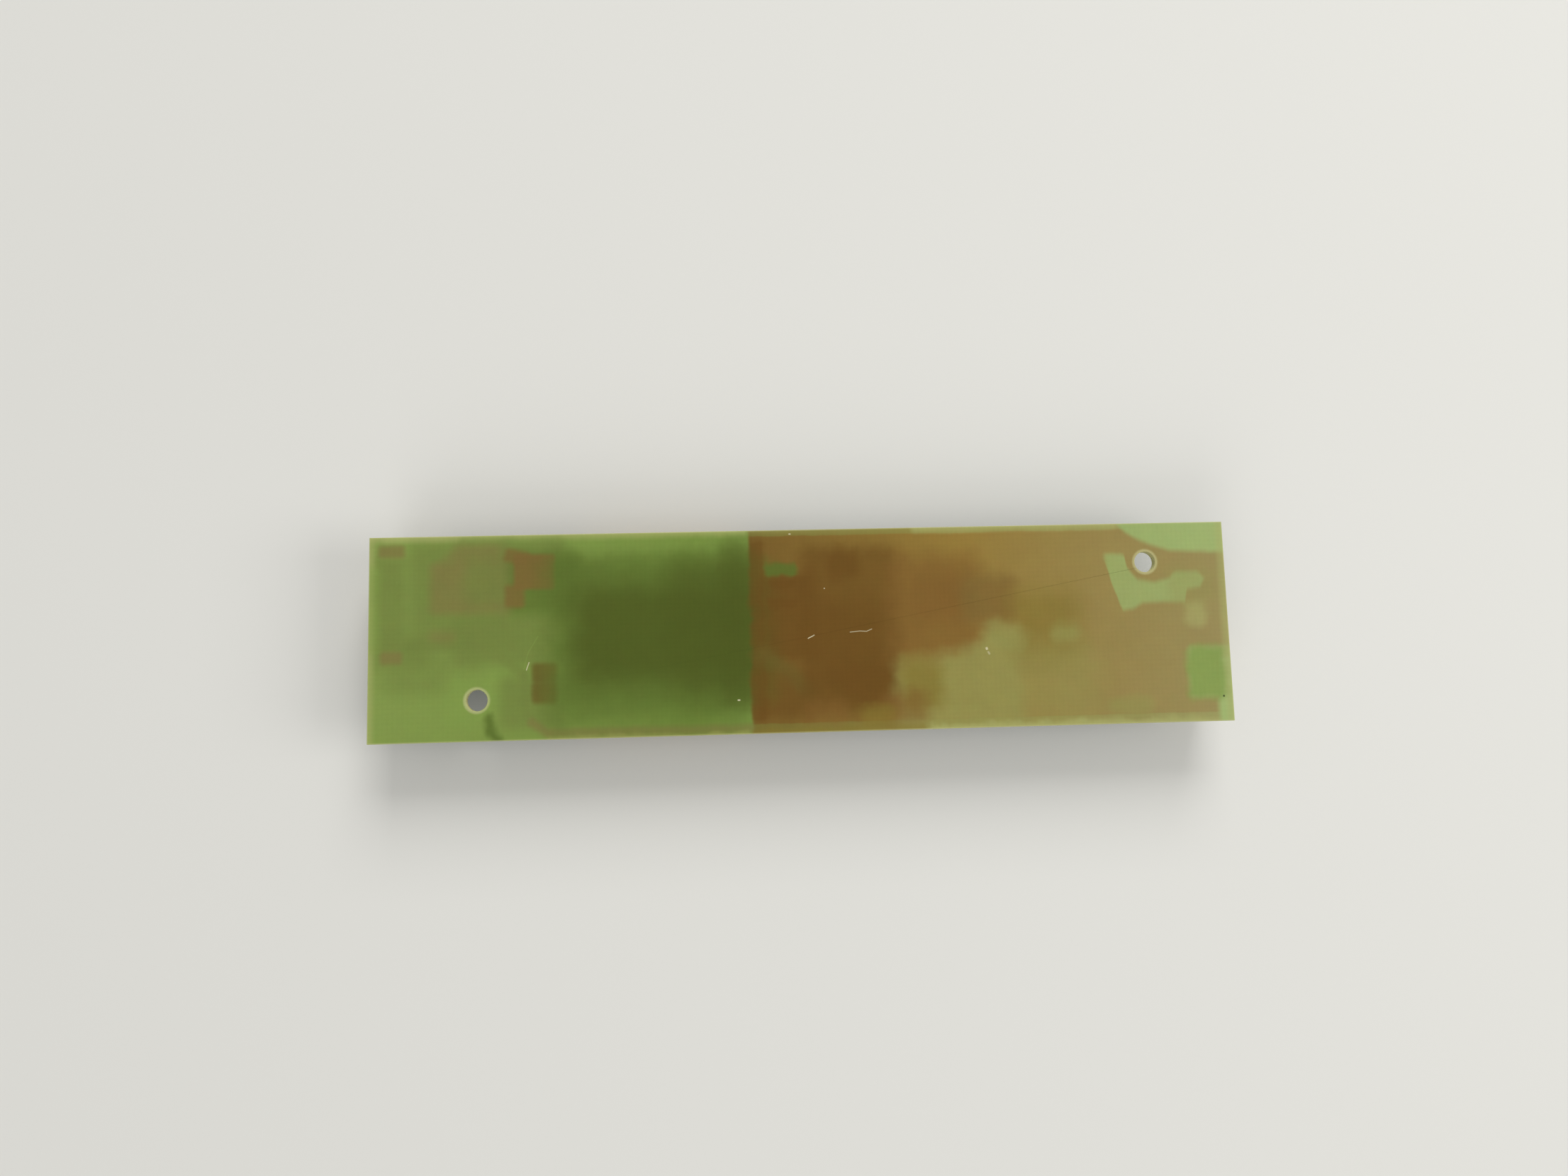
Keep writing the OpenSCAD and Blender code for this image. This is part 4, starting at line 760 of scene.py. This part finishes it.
def fillet(shape, low, high, side, axis, rise):
    """A wedge of solder on a pad: full height at the part's face, hollowed towards the pad's edge."""
    cuts = (6, 1) if axis == 0 else (1, 6)
    made = bmesh.ops.create_grid(shape, x_segments=cuts[0], y_segments=cuts[1], size=0.5)["verts"]
    faces = list({face for vert in made for face in vert.link_faces})
    bmesh.ops.scale(shape, verts=made, vec=((high[0] - low[0]) * MM, (high[1] - low[1]) * MM, 1))
    bmesh.ops.translate(shape, verts=made, vec=Vector(
        ((low[0] + high[0]) / 2, (low[1] + high[1]) / 2, MASK_LOW)) * MM)
    raised = bmesh.ops.extrude_face_region(shape, geom=faces, use_keep_orig=True)["geom"]
    raised = [item for item in raised if isinstance(item, bmesh.types.BMVert)]
    start, end = (low[axis], high[axis])[::side]
    across = 1 - axis
    middle = (low[across] + high[across]) / 2
    for vert in made + raised:
        out = (vert.co[axis] / MM - start) / (end - start)
        taper = 1 - FILLET_TAPER * out * out
        vert.co[across] = (middle + (vert.co[across] / MM - middle) * taper) * MM
        if vert in raised:
            height = FILLET_EDGE + (rise - FILLET_EDGE) * max(0, 1 - out) ** FILLET_HOLLOW
            vert.co.z = (MASK_LOW - height) * MM


def line_parts(start, end, blocked):
    """What is left of the span from start to end outside the blocked spans."""
    parts, at = [], start
    for b0, b1 in sorted(blocked):
        if b0 > at:
            parts.append((at, min(b0, end)))
        at = max(at, b1)
    if at < end:
        parts.append((at, end))
    return [(a, b) for a, b in parts if b - a > SHORTEST_LINE]


def smooth(obj):
    """Rounds the shading of a piece, but keeps corners above 40 degrees sharp."""
    obj.data.shade_smooth()
    obj.data.set_sharp_from_angle(angle=math.radians(40))
    return obj


# ---------------------------------------- operators

class INVERTER_OT_stage(Operator):
    """Puts up the bench, the soft lamps, the pale surround and the camera"""
    bl_idname = "inverter.stage"
    bl_label = "Bench, light and camera"

    def execute(self, context):
        studio = context.scene.inverter_studio
        scene = context.scene
        scene.view_settings.view_transform = "Standard"

        shape = bmesh.new()
        bmesh.ops.create_grid(shape, x_segments=1, y_segments=1, size=studio.floor_size / 2)
        # dull, so that it mirrors nothing and takes soft shadows
        material = start_material("matt_white_board", Roughness=0.8, Specular_IOR_Level=0.1,
                                  Base_Color=(*studio.floor_colour, 1))[0]
        bench = put_shape("bench", shape, material)

        world = bpy.data.worlds.new("pale_surround")
        world.use_nodes = True
        scene.world = world
        tree = world.node_tree
        tree.nodes.clear()
        rays = add(tree, "ShaderNodeLightPath")
        seen = together(tree, "MAXIMUM", rays.outputs["Is Camera Ray"], rays.outputs["Is Glossy Ray"],
                        rays.outputs["Is Transmission Ray"])
        light = add(tree, "ShaderNodeBackground", {"Color": linear("#FFFFFF"), "Strength": studio.sky})
        shown = add(tree, "ShaderNodeBackground", {"Color": linear("#FAF9F6"), "Strength": 1.0})
        either = add(tree, "ShaderNodeMixShader", {0: seen, 1: light.outputs[0], 2: shown.outputs[0]})
        add(tree, "ShaderNodeOutputWorld", {"Surface": either.outputs[0]})

        # The lamps' places and widths, in metres.
        for name, spot, width, power in (
                ("main_lamp", (0.15, 0.80, 0.60), 0.54, studio.lamp),
                ("side_lamp", (0.56, -0.08, 0.36), 0.32, studio.side),
                ("front_lamp", (-0.24, -0.68, 0.44), 0.5, studio.front)):
            data = bpy.data.lights.new(name, "AREA")
            data.shape = "SQUARE"
            data.size = width
            data.energy = power
            lamp = put(name, data)
            lamp.location = spot
            lamp.rotation_euler = (-Vector(spot)).to_track_quat("-Z", "Y").to_euler()

        data = bpy.data.cameras.new("camera")
        data.sensor_fit = "HORIZONTAL"
        data.sensor_width = SENSOR_WIDTH
        data.lens = SENSOR_WIDTH * FOCAL_PIXELS / IMAGE_WIDTH
        data.clip_start = 0.005
        camera = put("camera", data)
        camera.location = Vector(CAMERA_PLACE) * MM
        camera.rotation_euler = [math.radians(angle) for angle in CAMERA_TURN]
        scene.camera = camera
        return {"FINISHED"}


class INVERTER_OT_board(Operator):
    """Finishes the laminate, the copper foil under it and the green lacquer"""
    bl_idname = "inverter.board"
    bl_label = "Laminate, foil and lacquer"

    def execute(self, context):
        look = context.scene.inverter_board
        dress("laminate", "laminate", edge=look.edge_round / MM)
        dress("foil", "ground_foil", "pad_foil", "high_voltage_foil")
        dress("mask", "solder_mask")
        dress("solder", "solder_coats")
        return {"FINISHED"}


class INVERTER_OT_connectors(Operator):
    """Finishes the two connectors, their contacts and their solder tabs"""
    bl_idname = "inverter.connectors"
    bl_label = "Connectors"

    def execute(self, context):
        dress("ivory", "output_housing", "input_housing", edge=0.07)
        dress("contact", "output_contacts", "output_tabs", "input_contacts", "input_tabs")
        return {"FINISHED"}


class INVERTER_OT_transformer(Operator):
    """Winds the transformer turn by turn and finishes its core, bobbin, tape and pins"""
    bl_idname = "inverter.transformer"
    bl_label = "Transformer"

    def execute(self, context):
        sizes = context.scene.inverter_windings
        dress("bobbin", "transformer_bobbin", edge=0.05)
        dress("ferrite", "core_half_left", "core_half_right", edge=0.1)
        dress("spacer", "core_spacer")
        dress("tape", "core_tape")
        dress("contact", "primary_pins", "secondary_pins")
        for name, node_name, wire, build in (
                ("primary_turns", "primary_winding", sizes.primary_wire / MM, PRIMARY_BUILD),
                ("secondary_turns", "secondary_winding", sizes.secondary_wire / MM, SECONDARY_BUILD)):
            dress("wire", node_name)
            shape = bmesh.new()
            for low, high in islands(node_name):
                loop = rounded_loop(shape, low, high, build * 0.7)
                wound_ring(shape, loop, 0, turn_steps(high.x - low.x, wire, build - 0.02), build - 0.02)
            smooth(new_piece(name, shape, "wire", node_name))
        return {"FINISHED"}


class INVERTER_OT_choke(Operator):
    """Winds the choke turn by turn and finishes its drum, base and clips"""
    bl_idname = "inverter.choke"
    bl_label = "Choke"

    def execute(self, context):
        sizes = context.scene.inverter_windings
        dress("ferrite", "choke_drum", edge=0.08)
        dress("bobbin", "choke_base", edge=0.06)
        dress("contact", "choke_clips")
        dress("wire", "choke_winding")
        low, high = box_mm("choke_winding")
        radius, middle = (high.x - low.x) / 2, (low + high) / 2
        shape = bmesh.new()
        made = bmesh.ops.create_circle(shape, cap_ends=False, segments=72, radius=radius * MM)["verts"]
        bmesh.ops.translate(shape, verts=made, vec=Vector((middle.x, middle.y, low.z)) * MM)
        build = radius - CHOKE_INNER
        wound_ring(shape, list(shape.edges), 2,
                   turn_steps(high.z - low.z, sizes.choke_wire / MM, build), build)
        smooth(new_piece("choke_turns", shape, "wire", "choke_winding"))
        return {"FINISHED"}


class INVERTER_OT_capacitors(Operator):
    """Finishes the capacitors and the fuse"""
    bl_idname = "inverter.capacitors"
    bl_label = "Capacitors and fuse"

    def execute(self, context):
        dress("ceramic_cap", "ballast_body", "bulk_bodies", "ceramic_bodies", edge=0.05)
        dress("film_cap", "film_body", edge=0.1)
        dress("fuse", "fuse_body", edge=0.05)
        dress("solder", "ballast_ends", "bulk_ends", "ceramic_ends", "film_ends", "fuse_ends", edge=0.06)
        dress("can", "can_shell")
        dress("rubber", "can_bung")
        dress("roll", "can_roll")
        dress("bobbin", "can_base", edge=0.06)
        dress("contact", "can_leads")
        return {"FINISHED"}


class INVERTER_OT_chips(Operator):
    """Finishes the chips, the diodes and the chip resistors"""
    bl_idname = "inverter.chips"
    bl_label = "Chips, diodes and resistors"

    def execute(self, context):
        dress("epoxy", "switch_body", "regulator_body", "control_body", "diode_body", "small_diode_bodies",
              edge=0.04)
        dress("contact", "switch_leads", "regulator_leads", "control_leads", "diode_leads",
              "small_diode_leads")
        dress("alumina", "resistor_bodies", edge=0.02)
        dress("overcoat", "resistor_coats")
        dress("solder", "resistor_ends", edge=0.04)
        return {"FINISHED"}


class INVERTER_OT_solder(Operator):
    """Lays a hollow wedge of solder from each part's metal to the edge of its pad"""
    bl_idname = "inverter.solder"
    bl_label = "Solder fillets"

    def execute(self, context):
        least = context.scene.inverter_solder.least_run / MM
        pads = islands("solder_coats")
        shape = bmesh.new()
        for name, (foot, rise) in SOLDERED.items():
            for low, high in islands(name, foot):
                for pad_low, pad_high in pads:
                    lap_low = [max(low[i], pad_low[i]) for i in (0, 1)]
                    lap_high = [min(high[i], pad_high[i]) for i in (0, 1)]
                    if min(lap_high[0] - lap_low[0], lap_high[1] - lap_low[1]) < LEAST_LAP:
                        continue
                    for axis in (0, 1):
                        for side, gap in ((-1, low[axis] - pad_low[axis]), (1, pad_high[axis] - high[axis])):
                            if gap < least:
                                continue
                            run = min(gap, rise * RUN_PER_RISE)
                            near, far = lap_low[:], lap_high[:]
                            if side > 0:
                                near[axis], far[axis] = high[axis], high[axis] + run
                            else:
                                near[axis], far[axis] = low[axis] - run, low[axis]
                            fillet(shape, near, far, side, axis, rise)
        if not shape.faces:
            raise RuntimeError("no solder was laid")
        smooth(new_piece("solder_fillets", shape, "solder"))
        return {"FINISHED"}


class INVERTER_OT_print(Operator):
    """Prints white outlines round the parts and marks which way round they go"""
    bl_idname = "inverter.print"
    bl_label = "Printed outlines"

    def execute(self, context):
        width = context.scene.inverter_solder.print_width / MM
        pads = islands("solder_coats")
        shape = bmesh.new()
        for name, margin in OUTLINED.items():
            for low, high in islands(name):
                x0, x1, y0, y1 = low.x - margin, high.x + margin, low.y - margin, high.y + margin
                for axis, at, start, end in (
                        (0, y0, x0, x1), (0, y1, x0, x1), (1, x0, y0, y1), (1, x1, y0, y1)):
                    if abs(at) > BOARD_HIGH[1 - axis] - PRINT_INSET:
                        continue
                    blocked = [(a[axis] - PAD_GAP, b[axis] + PAD_GAP) for a, b in pads
                               if a[1 - axis] - PAD_GAP < at < b[1 - axis] + PAD_GAP]
                    for a, b in line_parts(start - width / 2, end + width / 2, blocked):
                        corners = [[0, 0, MASK_LOW - PRINT_T], [0, 0, MASK_LOW]]
                        corners[0][axis], corners[1][axis] = a, b
                        corners[0][1 - axis], corners[1][1 - axis] = at - width / 2, at + width / 2
                        ingot(shape, *[Vector(c) for c in corners])
        for name in ("switch_body", "regulator_body", "control_body"):
            low = box_mm(name)[0]
            dot = bmesh.ops.create_cone(shape, cap_ends=True, segments=20, radius1=DOT_RADIUS * MM,
                                        radius2=DOT_RADIUS * MM, depth=PRINT_T * MM)["verts"]
            bmesh.ops.translate(shape, verts=dot, vec=Vector(
                (low.x - 0.75, low.y + 0.5, MASK_LOW - PRINT_T / 2)) * MM)
        low, high = box_mm("diode_body")
        ingot(shape, Vector((low.x - 0.1, high.y + 0.35, MASK_LOW - PRINT_T)),
              Vector((low.x + 0.5, high.y + 0.8, MASK_LOW)))
        new_piece("printed_outlines", shape, "ivory")
        return {"FINISHED"}


# How deep each kind of foot reaches below its pad, and how far solder climbs it, in mm.
SOLDERED = {
    "ballast_ends": (9, 1.2), "film_ends": (9, 1.4), "fuse_ends": (9, 0.6), "bulk_ends": (9, 0.8),
    "ceramic_ends": (9, 0.5), "resistor_ends": (9, 0.3), "choke_clips": (0.25, 0.6), "can_leads": (0.3, 0.22),
    "diode_leads": (9, 0.6), "small_diode_leads": (0.2, 0.13), "switch_leads": (0.25, 0.18),
    "regulator_leads": (0.25, 0.18), "control_leads": (0.25, 0.18), "primary_pins": (0.35, 0.28),
    "secondary_pins": (0.35, 0.28), "output_contacts": (0.45, 0.36), "input_contacts": (0.3, 0.2),
    "output_tabs": (0.3, 0.22), "input_tabs": (0.3, 0.22),
}
# How far outside each part its printed outline runs, in mm.
OUTLINED = {
    "output_housing": 0.25, "ballast_body": 0.4, "transformer_bobbin": 0.35, "choke_base": 0.35,
    "film_body": 0.35, "switch_body": 0.3, "regulator_body": 0.3, "control_body": 0.3, "diode_body": 0.45,
    "can_base": 0.35, "fuse_body": 0.4, "bulk_bodies": 0.35, "resistor_bodies": 0.32, "ceramic_bodies": 0.32,
    "small_diode_bodies": 0.3, "input_housing": 0.25,
}
# A fillet's narrowing towards the pad's edge, its thickness there in mm, and the power that hollows it.
FILLET_TAPER, FILLET_EDGE, FILLET_HOLLOW = 0.16, 0.012, 2.2
# A part has to lap its pad by this many mm, and solder runs out at most this many times as far as it climbs.
LEAST_LAP, RUN_PER_RISE = 0.05, 1.3
# The print: its thickness, the radius of the dot at a chip's corner, its distance from the board's edge and
# from pads, and its shortest line, in mm.
PRINT_T, DOT_RADIUS, PRINT_INSET, PAD_GAP, SHORTEST_LINE = 0.02, 0.26, 0.25, 0.2, 0.5


class INVERTER_PT_panel(Panel):
    """Lists the settings and the steps that finish the board"""
    bl_label = "Inverter board"
    bl_idname = "INVERTER_PT_panel"
    bl_space_type = "VIEW_3D"
    bl_region_type = "UI"
    bl_category = "Inverter board"

    def draw(self, context):
        for name, kind in GROUPS:
            box = self.layout.box()
            for prop in kind.__annotations__:
                box.prop(getattr(context.scene, "inverter_" + name), prop)
        for step in STEPS:
            self.layout.operator(step.bl_idname)


STEPS = (INVERTER_OT_stage, INVERTER_OT_board, INVERTER_OT_connectors, INVERTER_OT_transformer,
         INVERTER_OT_choke, INVERTER_OT_capacitors, INVERTER_OT_chips, INVERTER_OT_solder, INVERTER_OT_print)


def register():
    """Adds the settings, the steps and the panel."""
    for name, kind in GROUPS:
        bpy.utils.register_class(kind)
        setattr(bpy.types.Scene, "inverter_" + name, PointerProperty(type=kind))
    for kind in STEPS + (INVERTER_PT_panel,):
        bpy.utils.register_class(kind)


def unregister():
    """Takes them away again."""
    for kind in reversed(STEPS + (INVERTER_PT_panel,)):
        bpy.utils.unregister_class(kind)
    for name, kind in reversed(GROUPS):
        delattr(bpy.types.Scene, "inverter_" + name)
        bpy.utils.unregister_class(kind)


def main():
    """Finishes the board step by step."""
    register()
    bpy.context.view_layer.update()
    MATERIALS.update(make_materials(bpy.context.scene.inverter_board))
    for step in STEPS:
        group, name = step.bl_idname.split(".")
        getattr(getattr(bpy.ops, group), name)()


if __name__ == "__main__":
    main()
